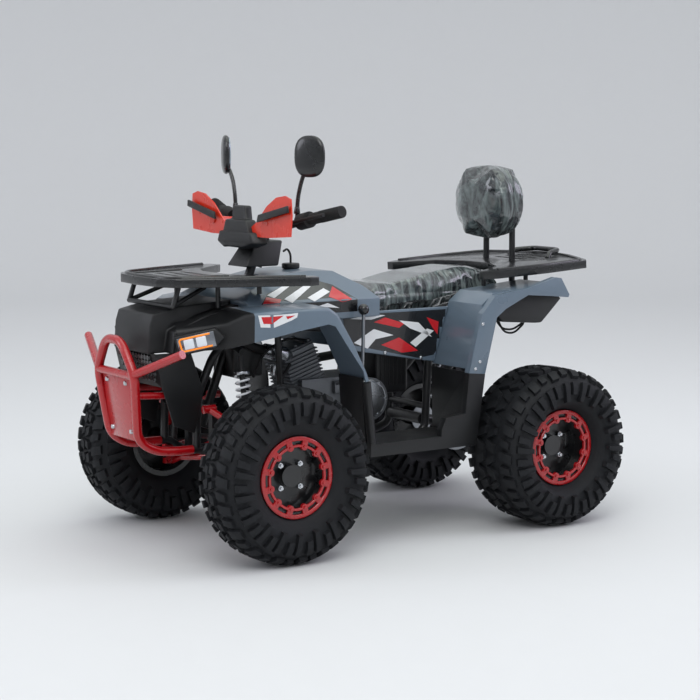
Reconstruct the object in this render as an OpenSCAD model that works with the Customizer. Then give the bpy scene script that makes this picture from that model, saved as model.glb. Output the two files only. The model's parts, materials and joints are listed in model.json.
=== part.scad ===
// Utility quad bike with racks, a backrest and a tubular front bumper.
// X runs forward, Y to the rider's left and Z up. The tyres stand on Z = 0.

/* [Overall] */
// Distance between the front and rear axles
wheelbase = 930; // [800:5:1100]
// Distance between the middles of the front tyres
front_track = 744; // [700:2:900]
// Distance between the middles of the rear tyres
rear_track = 708; // [660:2:860]
// Height of the frame's lower rails above the floor
rail_z = 250; // [240:5:290]

/* [Front wheels] */
// Outer diameter of a front tyre
front_tyre_d = 486; // [400:2:560]
// Width of a front tyre
front_tyre_w = 174; // [140:2:200]
// Distance from the wheel's middle to the outer face of its bead ring
front_ring_out = 63; // [50:1:80]

/* [Rear wheels] */
// Outer diameter of a rear tyre
rear_tyre_d = 470; // [400:2:560]
// Width of a rear tyre
rear_tyre_w = 231; // [180:1:270]
// Distance from the wheel's middle to the outer face of its bead ring
rear_ring_out = 76; // [60:1:95]

/* [Rims] */
// Outer diameter of the rim's flange and of its bead ring
flange_d = 225; // [200:1:260]
// Inner diameter of the bead ring
ring_in_d = 164; // [140:1:180]
// Thickness of the bead ring
ring_t = 8; // [4:1:12]
// Outer diameter of the rim's barrel, under the tyre's bead
barrel_d = 203; // [185:1:240]
// Thickness of the rim's barrel and its disc
rim_wall = 6; // [4:0.5:9]
// Gap between the tyre's bead and the rim
bead_gap = 0.3; // [0.1:0.1:0.8]
// Thickness of the tyre's casing
casing_t = 14; // [8:1:24]

/* [Steering] */
// Rake of the steering stem from the vertical, in degrees
stem_rake = 20.8; // [15:0.1:28]
// Diameter of the steering stem
stem_d = 26; // [20:1:32]
// Length of the steering stem
stem_len = 612; // [540:2:660]
// Diameter of the handlebar
bar_d = 22; // [18:1:28]
// Half the width of the handlebar
bar_half = 350; // [300:5:400]
// Diameter of a grip
grip_d = 33; // [29:1:40]
// Length of the drop arm that pushes the tie rods
drop_arm = 54; // [44:1:60]
// Distance from the bike's middle to each kingpin
kingpin_y = 300; // [285:1:305]
// Diameter of a kingpin's ends
kingpin_d = 16; // [12:1:22]
// Diameter of a front wheel's spindle
spindle_d = 22; // [16:1:28]
// Running clearance on a radius, in the hinges and hubs
run_gap = 0.05; // [0.02:0.01:0.1]

/* [Rear axle] */
// Diameter of the rear axle
axle_d = 30; // [24:1:36]
// Diameter of the axle carrier in the swingarm
carrier_d = 74; // [60:1:90]
// Length of the axle carrier
carrier_len = 150; // [120:2:200]
// Diameter of the rear sprocket
sprocket_d = 150; // [120:2:180]
// Diameter of the rear brake disc
disc_d = 160; // [130:2:190]

/* [Frame] */
// Diameter of the frame tubes
frame_tube = 25; // [20:1:28]
// Half the distance between the frame's rails
rail_y = 95; // [85:1:105]
// Diameter of the bumper's tubes
bumper_tube = 26; // [22:1:32]
// Diameter of the rack frames' tubes
rack_tube = 14; // [10:1:18]
// Diameter of the hitch pin's hole
hitch_hole_d = 13; // [10:0.5:20]
// Thickness of the hitch plate
hitch_t = 8; // [6:0.5:12]

/* [Body] */
// Half the width over the fenders and foot rails
body_half = 345; // [330:5:360]
// Thickness of the plastic panels
panel_t = 5; // [3:0.5:8]
// Height of the seat's highest point
seat_z = 740; // [720:2:750]
// Half the width of the seat
seat_half = 140; // [120:2:150]
// Thickness of the racks' decks
deck_t = 24; // [16:1:30]
// Diameter of the backrest's posts
post_d = 19; // [16:1:25]
// Width of the backrest's pad
pad_w = 262; // [220:2:300]
// Diameter of the fuel cap
cap_d = 52; // [40:1:70]

/* [Hidden] */
$fn = 48;

// Axle stations, and wheel centre heights
fx = wheelbase / 2;
rx = -wheelbase / 2;
fz = front_tyre_d / 2;
rz = rear_tyre_d / 2;
// Foremost and rearmost points, which put the origin at the middle of the length
bumper_top_x = 326;
front_end = fx + bumper_top_x + bumper_tube / 2;
rack_tail_x = -319;
rear_end = rx + rack_tail_x;
middle_x = (front_end + rear_end) / 2;
// Ball in a tube's corner over the tube's diameter, and the sides that a tube is drawn with
bend_bulge = 1.06;
tube_sides = 16;
// Gap kept between solids of one body that don't touch
seat_gap = 0.4;
// Foot of the steering stem, from the front axle
stem_foot = [53, 0, 330];
drop_arm_t = 8;
drop_pin_y = 16;
stem_bush_len = 30;
stem_bush_low = 46;
stem_bush_high = 300;
// Kingpin and spindle
knuckle_d = 30;
kingpin_half = 50;
kingpin_pin = 20;
arm_eye_d = 34;
arm_eye_h = 16;
hub_in = 45;
rear_hub_in = 70;
hub_d = 62;
knuckle_arm = [-60, -30, 0];
rod_pin_d = 10;
rod_d = 14;
rod_eye_d = 22;
rod_eye_h = 12;
rod_rise = 14;
// Frame heights
top_rail_z = 625;
rear_rail_z = 651;
cross_tube = 19;
bumper_foot_z = 285;
engine_mounts = [-260, -440];
front_post_x = 135;
upper_pivot_z = 400;
pivot_y = rail_y + frame_tube / 2 + 12;
shock_top = [20, 168, 549];
shock_foot = [24, 226, 238];
spring_d = 44;
arm_tube = 20;
// Footwell
foot_z = 292;
foot_rail_h = 36;
foot_front_x = -300;
foot_rear_x = 275;
foot_in_y = 150;
foot_tube_d = 26;
// Deck heights
front_deck_z = 770;
rear_deck_z = 762;
rear_deck_tilt = 2.9;
post_y = 65;
post_x = -94;
pad_z = 949;
pad_h = 222;
pad_t = 92;

function fp(x, y, z) = [fx + x, y, z];
function rp(x, y, z) = [rx + x, y, z];
function flip(p) = [p[0], -p[1], p[2]];
function flips(ps) = [for (i = [len(ps) - 1 : -1 : 0]) flip(ps[i])];
// The same outline points [r, y] on the other side, in the opposite order
function mirrored(ps) = [for (i = [len(ps) - 1 : -1 : 0]) [ps[i][0], -ps[i][1]]];
function length(v) = sqrt(v * v);
// A point on the stem's axis, at distance s from its foot
function on_stem(s) = [fx + stem_foot[0] - s * sin(stem_rake), 0, stem_foot[2] + s * cos(stem_rake)];

module both() {
  children();
  mirror([0, 1, 0]) children();
}

// Stands its children's Z axis along the line from a to b
module along(a, b) {
  v = b - a;
  translate(a) rotate([0, acos(v[2] / length(v)), atan2(v[1], v[0])]) children();
}

module rod(a, b, d) {
  along(a, b) cylinder(h = length(b - a), d = d);
}

// Round tube along a list of points, with a ball in each corner
module tube(points, d) {
  for (i = [0 : len(points) - 2]) rod(points[i], points[i + 1], d, $fn = tube_sides);
  for (i = [1 : 1 : len(points) - 2]) translate(points[i]) sphere(d = d * bend_bulge, $fn = tube_sides);
}

// Side outline [x, z] made into a slab from y0 to y1
module side_slab(outline, y0, y1) {
  translate([0, y1, 0]) rotate([90, 0, 0]) linear_extrude(y1 - y0) polygon(outline);
}

// Front outline [y, z] made into a bar from x0 to x1
module front_slab(outline, x0, x1) {
  translate([x0, 0, 0]) rotate([90, 0, 90]) linear_extrude(x1 - x0) polygon(outline);
}

module at_stem(s) {
  translate(on_stem(s)) rotate([0, -stem_rake, 0]) children();
}

// ---------------------------------------------------------------- wheels

// Place of a tyre's bead, just inboard of the lip that carries the bead ring
function bead_y(ring_out) = ring_out - ring_t - rim_wall - 2 * bead_gap;

// Tyre casing about the Y axis, with round shoulders and open beads
module tyre(d, w, ring_out) {
  r = d / 2;
  bead_r = barrel_d / 2 + bead_gap;
  lip_r = flange_d / 2 + 2;
  bead = bead_y(ring_out);
  shoulder = 38;
  side_r = bead_r + (r - bead_r) * 0.55;
  arc = [for (a = [0 : 15 : 90]) [r - shoulder + shoulder * cos(a), w / 2 - shoulder + shoulder * sin(a)]];
  outside = concat(arc, [[side_r, w / 2], [lip_r + 8, bead + 18], [lip_r, bead + 4],
    [lip_r, bead], [bead_r, bead]]);
  inside = [
    [r - casing_t, w / 2 - shoulder - casing_t / 2], [r - shoulder, w / 2 - casing_t],
    [side_r, w / 2 - casing_t], [bead_r - 1, bead - casing_t]];
  rotate([90, 0, 0]) rotate_extrude($fn = 96) difference() {
    polygon(concat(outside, mirrored(outside)));
    polygon(concat(inside, mirrored(inside)));
  }
}

// Rim about the Y axis: barrel, two lips, dished disc, hub and centre cap
module rim(ring_out, hub_in_len, bore_d, cap_out) {
  r = barrel_d / 2;
  bead = bead_y(ring_out) + 2 * bead_gap;
  lip_r = flange_d / 2 - 2;
  disc_y = 4;
  difference() {
    rotate([-90, 0, 0]) union() {
      rotate_extrude($fn = 96) polygon([
        [r - rim_wall, -bead - rim_wall], [lip_r, -bead - rim_wall], [lip_r, -bead], [r, -bead],
        [r, bead], [lip_r, bead], [lip_r, bead + rim_wall], [r - rim_wall, bead + rim_wall]]);
      rotate_extrude($fn = 96) polygon([
        [0, disc_y - 2], [r - rim_wall + 1, disc_y + 8], [r - rim_wall + 1, disc_y + 8 + rim_wall],
        [0, disc_y - 2 + rim_wall]]);
      translate([0, 0, -hub_in_len]) cylinder(h = hub_in_len + disc_y + 6, d = hub_d);
      translate([0, 0, disc_y]) cylinder(h = cap_out - disc_y, d = 60);
    }
    rotate([-90, 0, 0]) translate([0, 0, -hub_in_len - 1])
      cylinder(h = hub_in_len + 1 + disc_y + 12, d = bore_d);
  }
}

// Bead ring about the Y axis, with a window between each two bolts
module bead_ring(ring_out) {
  bolts = 12;
  window = [11, 17];
  rotate([-90, 0, 0]) difference() {
    translate([0, 0, ring_out - ring_t]) cylinder(h = ring_t, d = flange_d, $fn = 96);
    translate([0, 0, ring_out - ring_t - 1]) cylinder(h = ring_t + 2, d = ring_in_d, $fn = 96);
    for (i = [0 : bolts - 1]) rotate([0, 0, (i + 0.5) * 360 / bolts])
      translate([(ring_in_d + flange_d) / 4 - window[0] / 2, -window[1] / 2, ring_out - ring_t - 1])
        cube([window[0], window[1], ring_t + 2]);
  }
}

module at_rear_wheels() {
  both() translate([rx, rear_track / 2, rz]) children();
}

module front_tyre(side) {
  color("#23262b") translate([fx, side * front_track / 2, fz])
    tyre(front_tyre_d, front_tyre_w, front_ring_out);
}

module front_rim(side) {
  color("#17181a") mirror([0, side < 0 ? 1 : 0, 0]) translate([fx, front_track / 2, fz])
    rim(front_ring_out, hub_in, spindle_d + 2 * run_gap, 32);
}

module front_bead_ring(side) {
  color("#c81f24") mirror([0, side < 0 ? 1 : 0, 0]) translate([fx, front_track / 2, fz])
    bead_ring(front_ring_out);
}

module rear_tyres() {
  color("#23262b") at_rear_wheels() tyre(rear_tyre_d, rear_tyre_w, rear_ring_out);
}

module rear_rims() {
  color("#17181a") at_rear_wheels()
    rim(rear_ring_out, rear_hub_in, axle_d + 2 * run_gap, 30);
}

module rear_bead_rings() {
  color("#c81f24") at_rear_wheels() bead_ring(rear_ring_out);
}

// Solid rear axle with its sprocket and brake disc
module rear_axle() {
  end_y = rear_track / 2 + 10;
  flange_y = rear_track / 2 - rear_hub_in - 3 - seat_gap;
  color("#8d9094") translate([rx, 0, rz]) rotate([90, 0, 0]) {
    cylinder(h = 2 * end_y, d = axle_d, center = true);
    translate([0, 0, -carrier_len / 2 - 24]) cylinder(h = 20, d = axle_d + 24);
    translate([0, 0, -carrier_len / 2 - 18]) cylinder(h = 6, d = sprocket_d, $fn = 72);
    translate([0, 0, carrier_len / 2 + 4]) cylinder(h = 20, d = axle_d + 24);
    translate([0, 0, carrier_len / 2 + 12]) cylinder(h = 4, d = disc_d, $fn = 72);
    for (s = [-1, 1]) translate([0, 0, s * flange_y - 3]) cylinder(h = 6, d = hub_d + 24);
  }
}

// ------------------------------------------------------- knuckles and tie rods

// Kingpin barrel, spindle and steering arm, for the left side
module knuckle() {
  spindle_end = front_track / 2 + 12 - kingpin_y;
  color("#2b2c2e") translate([fx, kingpin_y, fz]) {
    translate([0, 0, -kingpin_half]) cylinder(h = 2 * kingpin_half, d = knuckle_d);
    translate([0, 0, -kingpin_half - kingpin_pin])
      cylinder(h = 2 * (kingpin_half + kingpin_pin), d = kingpin_d);
    rotate([-90, 0, 0]) cylinder(h = spindle_end, d = spindle_d);
    rotate([-90, 0, 0]) cylinder(h = front_track / 2 - hub_in - 1 - kingpin_y, d = spindle_d + 12);
    hull() {
      cylinder(h = 14, d = 24, center = true);
      translate(knuckle_arm) cylinder(h = 14, d = 24, center = true);
    }
    translate(knuckle_arm) cylinder(h = 7 + rod_rise + rod_eye_h / 2, d = rod_pin_d);
  }
}

function rod_outer() = [fx, kingpin_y, fz] + knuckle_arm + [0, 0, rod_rise];
function rod_inner() = on_stem(0) + [-drop_arm * cos(stem_rake), drop_pin_y, -drop_arm * sin(stem_rake) - 16];

// Tie rod of the left side. Its outer eye turns on the knuckle's pin.
module tie_rod() {
  a = rod_outer();
  b = rod_inner();
  u = (b - a) / length(b - a);
  color("#9a9da1") difference() {
    union() {
      rod(a + u * rod_eye_d * 0.4, b, rod_d);
      translate(a) cylinder(h = rod_eye_h, d = rod_eye_d, center = true);
      translate(b) sphere(d = rod_eye_d * 0.9);
    }
    translate(a) cylinder(h = 2 * rod_eye_h, d = rod_pin_d + 2 * run_gap, center = true);
  }
}

// ------------------------------------------------------------------ steering

module steering_stem() {
  riser_low = stem_len - 125;
  color("#1f2022") {
    difference() {
      at_stem(0) cylinder(h = stem_len, d = stem_d);
      rod([fx - 163, -80, 890], [fx - 163, 80, 890], bar_d + 2 * run_gap);
    }
    at_stem(0) hull() {
      cylinder(h = drop_arm_t, d = 40);
      translate([-drop_arm, 0, 0]) cylinder(h = drop_arm_t, d = 30);
    }
    at_stem(riser_low) for (s = [-1, 1]) translate([0, s * (stem_d / 2 + 3), 0])
      rotate([90, 0, 0]) translate([0, 0, -3]) linear_extrude(6) polygon([
        [-22, 0], [24, 0], [40, 60], [30, 98], [-12, 98], [-30, 60]]);
  }
}

bar_mid = [-163, 60, 890];
bar_grip_in = [-172, 235, 925];
bar_end = [-172 - 26, bar_half, 925 + 24];

module handlebar() {
  half = [fp(bar_mid[0], bar_mid[1], bar_mid[2]), fp(bar_grip_in[0], bar_grip_in[1], bar_grip_in[2]),
    fp(bar_end[0], bar_end[1], bar_end[2])];
  color("#1b1c1e") tube(concat(flips(half), half), bar_d);
}

// Point on the outer part of the bar, from its inner end (0) to its tip (1)
function on_bar(t) = fp(
  bar_grip_in[0] + t * (bar_end[0] - bar_grip_in[0]),
  bar_grip_in[1] + t * (bar_end[1] - bar_grip_in[1]),
  bar_grip_in[2] + t * (bar_end[2] - bar_grip_in[2]));
function on_rise(t) = fp(
  bar_mid[0] + t * (bar_grip_in[0] - bar_mid[0]),
  bar_mid[1] + t * (bar_grip_in[1] - bar_mid[1]),
  bar_mid[2] + t * (bar_grip_in[2] - bar_mid[2]));

// Grips, brake levers and switch blocks, each a sleeve on the bar
module bar_controls() {
  bore = bar_d + 0.6;
  color("#161718") both() {
    difference() {
      rod(on_bar(0.04), on_bar(1.03), grip_d);
      rod(on_bar(-0.1), on_bar(1.005), bore);
    }
    difference() {
      union() {
        rod(on_rise(0.72), on_rise(0.98), 46);
        tube([on_rise(0.8), on_rise(0.8) + [46, 10, -3], on_bar(0.95) + [54, 0, -6]], 11);
      }
      rod(on_rise(0.5), on_rise(1.4), bore);
    }
  }
}

module hand_guards() {
  // Outline [y, z] of a guard, and its foremost plane from the front axle
  outline = [
    [82, 905], [100, 958], [205, 985], [290, 968], [306, 920], [262, 874], [180, 858], [104, 862]];
  guard_x = -84;
  guard_t = 12;
  color("#d8301c") both() {
    front_slab(outline, fx + guard_x, fx + guard_x + guard_t);
    rod(fp(guard_x + 1, 150, 912), on_rise(0.52) + [bar_d / 2 + seat_gap, 0, 0], 12);
  }
}

module instrument_pod() {
  back_x = fx - 101.4;
  color("#1a1b1d") {
    front_slab([[-62, 838], [62, 838], [74, 880], [56, 918], [-56, 918], [-74, 880]], back_x, fx - 64);
    front_slab([[-40, 918], [40, 918], [34, 958], [-34, 958]], back_x, fx - 76);
  }
}

module mirrors() {
  head = [-172, 232, 1099];
  foot = on_rise(0.62);
  color("#131415") both() {
    difference() {
      rod(foot + [0, -10, -2], foot + [0, 10, 2], 42);
      rod(on_rise(0.3), on_rise(1), bar_d + 0.6);
    }
    rod(foot + [0, 0, 18], foot + [0, 2, 66], 13);
    rod(foot + [0, 2, 60], fp(head[0] + 6, head[1] - 20, head[2] - 40), 11.6);
    translate(fp(head[0], head[1], head[2])) rotate([0, 90, 25]) translate([0, 0, -13])
      linear_extrude(26) offset(r = 34, $fn = 32) square([36, 54], center = true);
  }
}

// --------------------------------------------------------------------- frame

// Welded tube frame: two bent rails each side, braces, uprights and cross tubes
module main_frame() {
  side_y = rail_y + 10;
  low = [
    fp(front_post_x, rail_y, bumper_foot_z), fp(front_post_x - 25, rail_y, bumper_foot_z),
    fp(60, rail_y, rail_z), rp(315, rail_y, rail_z), rp(262, rail_y, rail_z + 20),
    rp(250, side_y, top_rail_z - 10)];
  top = [
    fp(front_post_x - 14, rail_y, bumper_foot_z), fp(front_post_x - 16, rail_y, 430),
    fp(65, side_y, 560), fp(-70, side_y, top_rail_z), fp(-315, side_y, 600),
    rp(240, side_y, top_rail_z - 30), rp(post_x - 10, side_y, rear_rail_z)];
  // Places of the cross tubes
  crosses = [
    fp(front_post_x - 16, 0, 400), fp(-20, 0, rail_z), fp(engine_mounts[0], 0, rail_z),
    fp(engine_mounts[1], 0, rail_z), rp(258, 0, rail_z + 90), rp(200, 0, top_rail_z - 26),
    rp(post_x, 0, rear_rail_z)];
  color("#1c1d1f") {
    both() {
      tube(low, frame_tube);
      tube(top, frame_tube * 0.94);
      tube([rp(254, rail_y + 4, 380), rp(-20, side_y, 638)], frame_tube * 0.8);
      tube([fp(-165, rail_y, rail_z), fp(-140, side_y, top_rail_z - 10)], frame_tube * 0.8);
      // Outrigger that a front shock hangs from
      tube([fp(shock_top[0], side_y - 4, 581), fp(shock_top[0], shock_top[1] + 10, 560)], cross_tube);
    }
    for (p = crosses) tube([p - [0, rail_y + 2, 0], p + [0, rail_y + 2, 0]], cross_tube);
  }
}

// Bushes that the steering stem turns in, each on its own carrier
module frame_brackets() {
  carrier_tube = 18;
  low_p = on_stem(stem_bush_low + stem_bush_len / 2) + [stem_d / 2 + 9, 0, 0];
  high_reach = rail_y + 10 - frame_tube * 0.47 - seat_gap;
  high_p = on_stem(stem_bush_high + stem_bush_len / 2) + [stem_d / 2 + 9, 0, 0];
  low_reach = rail_y - frame_tube / 2 - seat_gap;
  color("#232426") difference() {
    union() {
      for (s = [stem_bush_low, stem_bush_high])
        at_stem(s) cylinder(h = stem_bush_len, d = stem_d + 18);
      rod(low_p - [0, low_reach - 14, 0], low_p + [0, low_reach - 14, 0], carrier_tube);
      both() translate([low_p[0] - 9, low_reach - 22, rail_z - 4]) cube([18, 21, low_p[2] - rail_z + 14]);
      rod(high_p - [0, high_reach, 0], high_p + [0, high_reach, 0], carrier_tube);
    }
    for (s = [stem_bush_low, stem_bush_high])
      at_stem(s - 30) cylinder(h = stem_bush_len + 60, d = stem_d + 2 * run_gap);
  }
}

module front_bumper() {
  frame_end = front_post_x + seat_gap;
  half = [
    fp(bumper_top_x, 45, 599), fp(320, 112, 508), fp(298, 84, 322), fp(243, 84, 288),
    fp(180, rail_y, bumper_foot_z), fp(frame_end, rail_y, bumper_foot_z)];
  branch = bumper_tube * 0.92;
  color("#c81f24") {
    tube(concat(flips(half), half), bumper_tube);
    both() {
      rod(fp(320, 108, 510), fp(265, 284, 580), branch);
      rod(fp(313, 98, 450), fp(front_post_x - 2, rail_y, 440), 20);
    }
    rod(fp(320, -108, 506), fp(320, 108, 506), branch);
    // Skid plate between the uprights, leaning with them
    side_slab([[fx + 316, 506], [fx + 320, 506], [fx + 299, 318], [fx + 295, 318]], -82, 82);
  }
}

// --------------------------------------------------------------- front panels

module front_shroud() {
  y_in = rail_y + frame_tube / 2 + 8;
  color("#1a1b1d") {
    both() side_slab([
      [fx + 262, 563.6], [fx + 240, 470], [fx + 205, 360],
      [fx + 140, 335], [fx + 110, 450], [fx + 150, 563.6]],
      y_in, y_in + panel_t);
    side_slab([[fx + 262, 563.6], [fx + 254, 563.6], [fx + 232, 470], [fx + 240, 470]], -y_in, y_in);
  }
}

module nose_panel() {
  color("#202226") union() {
    side_slab([
      [fx + 274, 564], [fx + 268, 640], [fx + 258, 672], [fx + 175, 690], [fx + 11.4, 700],
      [fx + 11.4, 655], [fx + 100, 655], [fx + 160, 600], [fx + 190, 564]], -105, 105);
    both() side_slab([
      [fx + 225, 564], [fx + 215, 625], [fx + 130, 662], [fx + 11.4, 690], [fx + 11.4, 655],
      [fx + 100, 640], [fx + 150, 590]], 105, 150);
  }
}

// Left lamp: a long box that sweeps back and up from the nose's corner
module headlights() {
  lamp_len = 134;
  lamp_h = 54;
  lamp_depth = 34;
  color("#c9ccd1") both() translate(fp(207, 155.8, 562)) rotate([0, 0, 150]) rotate([0, -12, 0])
    side_slab([[0, 10], [8, 0], [lamp_len - 34, 0], [lamp_len, 24], [lamp_len - 20, lamp_h], [0, lamp_h]],
      -lamp_depth, 0);
}

// Fender over a front wheel: skin, outer lip and rear leg
module front_fenders() {
  skin = [
    [fx + 100, 650], [fx, 680], [fx - 168, 682], [fx - 186, 672], [fx - 250, 590], [fx - 290, 480],
    [fx - 290 + panel_t, 480], [fx - 250 + panel_t, 586], [fx - 182, 672 - panel_t],
    [fx - 165, 682 - panel_t], [fx, 680 - panel_t], [fx + 98, 650 - panel_t]];
  lip = [
    [fx + 172, 598], [fx + 150, 640], [fx + 0, 684], [fx - 170, 685], [fx - 190, 674], [fx - 254, 590],
    [fx - 300, 476], [fx - 284, 470], [fx - 246, 530], [fx - 186, 634], [fx - 160, 642],
    [fx + 88, 604]];
  color("#6d7c8a") both() {
    side_slab(skin, 200, body_half - 24);
    side_slab(lip, body_half - 24, body_half);
  }
}

module tank_cover() {
  low_z = top_rail_z + 12.8;
  half = 199.6;
  color("#68737f") difference() {
    intersection() {
      side_slab([
        [fx + 11, low_z], [fx + 11, 700], [fx - 30, 730], [fx - 75, 742], [fx - 170, 765],
        [fx - 250, 770], [fx - 330, 766], [fx - 400, 724], [fx - 430, 690], [fx - 430, low_z]], -half, half);
      front_slab([[-half, low_z], [half, low_z], [half, 690], [128, 745], [96, 772], [-96, 772], [-128, 745],
        [-half, 690]], fx - 440, fx + 20);
    }
    at_stem(260) cylinder(h = 400, d = stem_d + 30);
  }
}

module fuel_cap() {
  color("#141516") translate(fp(-251, 0, 770)) cylinder(h = 16, d = cap_d);
}

module side_panels() {
  top_z = top_rail_z + 12.4;
  panel = [
    [fx - 300, top_z], [fx - 312, 545], [rx + 310, 490], [rx + 279, 486], [rx + 245.8, 598],
    [rx + 229, 648], [fx - 432, 648], [fx - 432, top_z]];
  color("#7b8894") both() side_slab(panel, 158, 158 + panel_t * 2);
}

module seat() {
  front_x = fx - 430.4;
  outline = [
    [front_x, 640], [front_x, 700], [front_x - 34, 708], [front_x - 120, 702], [rx + 257, seat_z - 14],
    [rx + 124, seat_z], [rx + 21, seat_z - 3], [rx - 10, seat_z - 34], [rx - 10, 690], [rx + 65, 688],
    [rx + 245, 652], [rx + 315, 656]];
  color("#2a2c2f") intersection() {
    side_slab(outline, -seat_half, seat_half);
    front_slab([
      [-seat_half, 636], [seat_half, 636], [seat_half, 680], [seat_half - 22, 715], [seat_half - 70, seat_z],
      [70 - seat_half, seat_z], [22 - seat_half, 715], [-seat_half, 680]], rx - 20, fx);
  }
}

// Fender over a rear wheel: front wall, skin and outer lip
module rear_fenders() {
  wall_in = seat_half + 20;
  lip = [
    [rx + 284, 469], [rx + 226, 463], [rx + 190, 600], [rx + 184, 626], [rx + 150, 650], [rx + 67, 686],
    [rx - 20, 679], [rx - 88, 672], [rx - 92, 680], [rx - 60, 731], [rx - 40, 734], [rx + 67, 706],
    [rx + 190, 690], [rx + 236, 640], [rx + 250, 600]];
  skin = [
    [rx + 280, 480], [rx + 244, 600], [rx + 222, 664], [rx + 180, 696], [rx + 60, 706], [rx - 50, 716],
    [rx - 84, 676], [rx - 78, 672], [rx - 47, 716 - panel_t - 1], [rx + 60, 706 - panel_t],
    [rx + 178, 696 - panel_t], [rx + 217, 662], [rx + 238, 600], [rx + 274, 480]];
  color("#6d7c8a") both() {
    side_slab(lip, body_half - 24, body_half);
    side_slab(skin, wall_in, body_half - 24);
  }
}

// Tray under the tail, close below the frame's rear rails
module tail_panel() {
  color("#1a1b1d") side_slab([
    [rx - 40, 602], [rx - 40, 627.8], [rx - 104, 638.2], [rx - 130, 641], [rx - 130, 608],
    [rx - 108, 602]], -150, 150);
}

// ---------------------------------------------------------------------- racks

module front_rack() {
  half = [[0, 255], [107, 247], [163, 219], [225, 95], [308, -120], [303, -156], [262, -165],
    [150, -32], [60, 6], [0, 6]];
  points = concat([for (p = half) [fx + p[1], p[0]]],
    [for (i = [len(half) - 2 : -1 : 1]) [fx + half[i][1], -half[i][0]]]);
  color("#23272a") difference() {
    translate([0, 0, front_deck_z - deck_t]) linear_extrude(deck_t) polygon(points);
    for (i = [0 : 3]) translate([fx + 60 + i * 42, -75, front_deck_z - deck_t - 1])
      cube([16, 150, deck_t + 2]);
  }
}

module front_rack_frame() {
  deck_low = front_deck_z - deck_t - seat_gap;
  hoop = [fp(209, 130, 691.5), fp(191, 130, deck_low - 2)];
  color("#17181a") {
    tube(concat(flips(hoop), hoop), rack_tube);
    both() {
      tube([fp(206, 126, 694), fp(92, 100, deck_low - 7)], rack_tube * 0.9);
      tube([fp(92, 100, deck_low - 8), fp(92, 100, deck_low)], rack_tube);
      tube([fp(62, 120, deck_low), fp(62, 120, 680.2)], rack_tube);
      tube([fp(-42, 170, deck_low), fp(-42, 170, 718.4)], rack_tube);
    }
  }
}

module rear_rack() {
  // Half outline [y, x from the rear axle], from the rear apex forward
  half = [[0, rack_tail_x], [120, -296], [240, -246], [266, -225], [280, -60], [268, 120], [248, 162],
    [225, 158], [160, 40], [60, -4], [0, -4]];
  points = concat([for (p = half) [p[1], p[0]]],
    [for (i = [len(half) - 2 : -1 : 1]) [half[i][1], -half[i][0]]]);
  color("#23272a") difference() {
    translate([rx, 0, rear_deck_z]) rotate([0, rear_deck_tilt, 0]) difference() {
      translate([0, 0, -deck_t]) linear_extrude(deck_t) polygon(points);
      for (i = [0 : 2]) translate([-150 - i * 42, -75, -deck_t - 1]) cube([16, 150, deck_t + 2]);
    }
    both() translate(rp(post_x, post_y, 700)) cylinder(h = 120, d = post_d + 2 * seat_gap);
  }
}

// Underside of the rear deck at a distance x from the rear axle
function rear_deck_low(x) = rear_deck_z - deck_t / cos(rear_deck_tilt) - x * tan(rear_deck_tilt);

module rear_rack_frame() {
  legs = [[100, 172, 704], [-40, 200, 717]];
  color("#17181a") both() {
    rod(rp(post_x, post_y, rear_rail_z + cross_tube / 2 + 0.2), rp(post_x, post_y, pad_z - 75), post_d);
    for (l = legs) rod(rp(l[0], l[1], l[2]), rp(l[0], l[1], rear_deck_low(l[0]) - 0.7), rack_tube);
  }
}

module backrest_pad() {
  color("#2a2c2f") difference() {
    translate(rp(-52, 0, pad_z)) rotate([0, 90, 0]) intersection() {
      cylinder(h = pad_t, d = pad_w, center = true, $fn = 96);
      cube([pad_h, pad_w, pad_t + 2], center = true);
    }
    for (s = [-1, 1]) translate(rp(post_x, s * post_y, pad_z - 200))
      cylinder(h = 200 - 70, d = post_d + 2 * seat_gap);
  }
}

// ----------------------------------------------------------------- footboards

module footboards() {
  x0 = rx + foot_rear_x;
  x1 = fx + foot_front_x;
  z0 = foot_z - 14;
  wall_x = rx + 268;
  lip_x = rx + 226;
  bracket_y = rail_y + frame_tube / 2 + seat_gap;
  color("#222426") both() {
    // Floor, outer rail and front tube
    translate([x0, foot_in_y, z0]) cube([x1 - x0, body_half - foot_in_y - 10, 8]);
    translate([x0 - 18, body_half - 26, foot_z - foot_rail_h]) cube([x1 - x0 + 18, 26, foot_rail_h]);
    rod([x1 - 13, body_half - 13, z0], fp(-293, body_half - 13, 468), foot_tube_d);
    // Front liner between the wheel and the footwell
    side_slab([[x1 - 6, z0], [x1, z0], [fx - 290 + panel_t, 479.6], [fx - 291, 479.6]],
      foot_in_y + 52, body_half - 26);
    // Rear wall, and the outer upright with its corner block
    side_slab([[wall_x, z0], [wall_x + 6, z0], [wall_x + 10, 470], [wall_x + 4, 470]],
      foot_in_y, body_half - 24);
    side_slab([
      [x0 - 18, foot_z - foot_rail_h], [x0 + 110, foot_z - foot_rail_h], [x0 + 108, 310], [x0 + 92, 344],
      [x0 + 22, 352], [rx + 284, 468.6], [lip_x, 462.6]], body_half - 24, body_half);
    // Brackets that hang the floor on the frame
    for (x = [x0 + 30, x1 - 60]) translate([x, bracket_y, rail_z - 4])
      cube([30, foot_in_y - bracket_y + 20, z0 - rail_z + 5]);
  }
}

// --------------------------------------------------------- engine and exhaust

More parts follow.
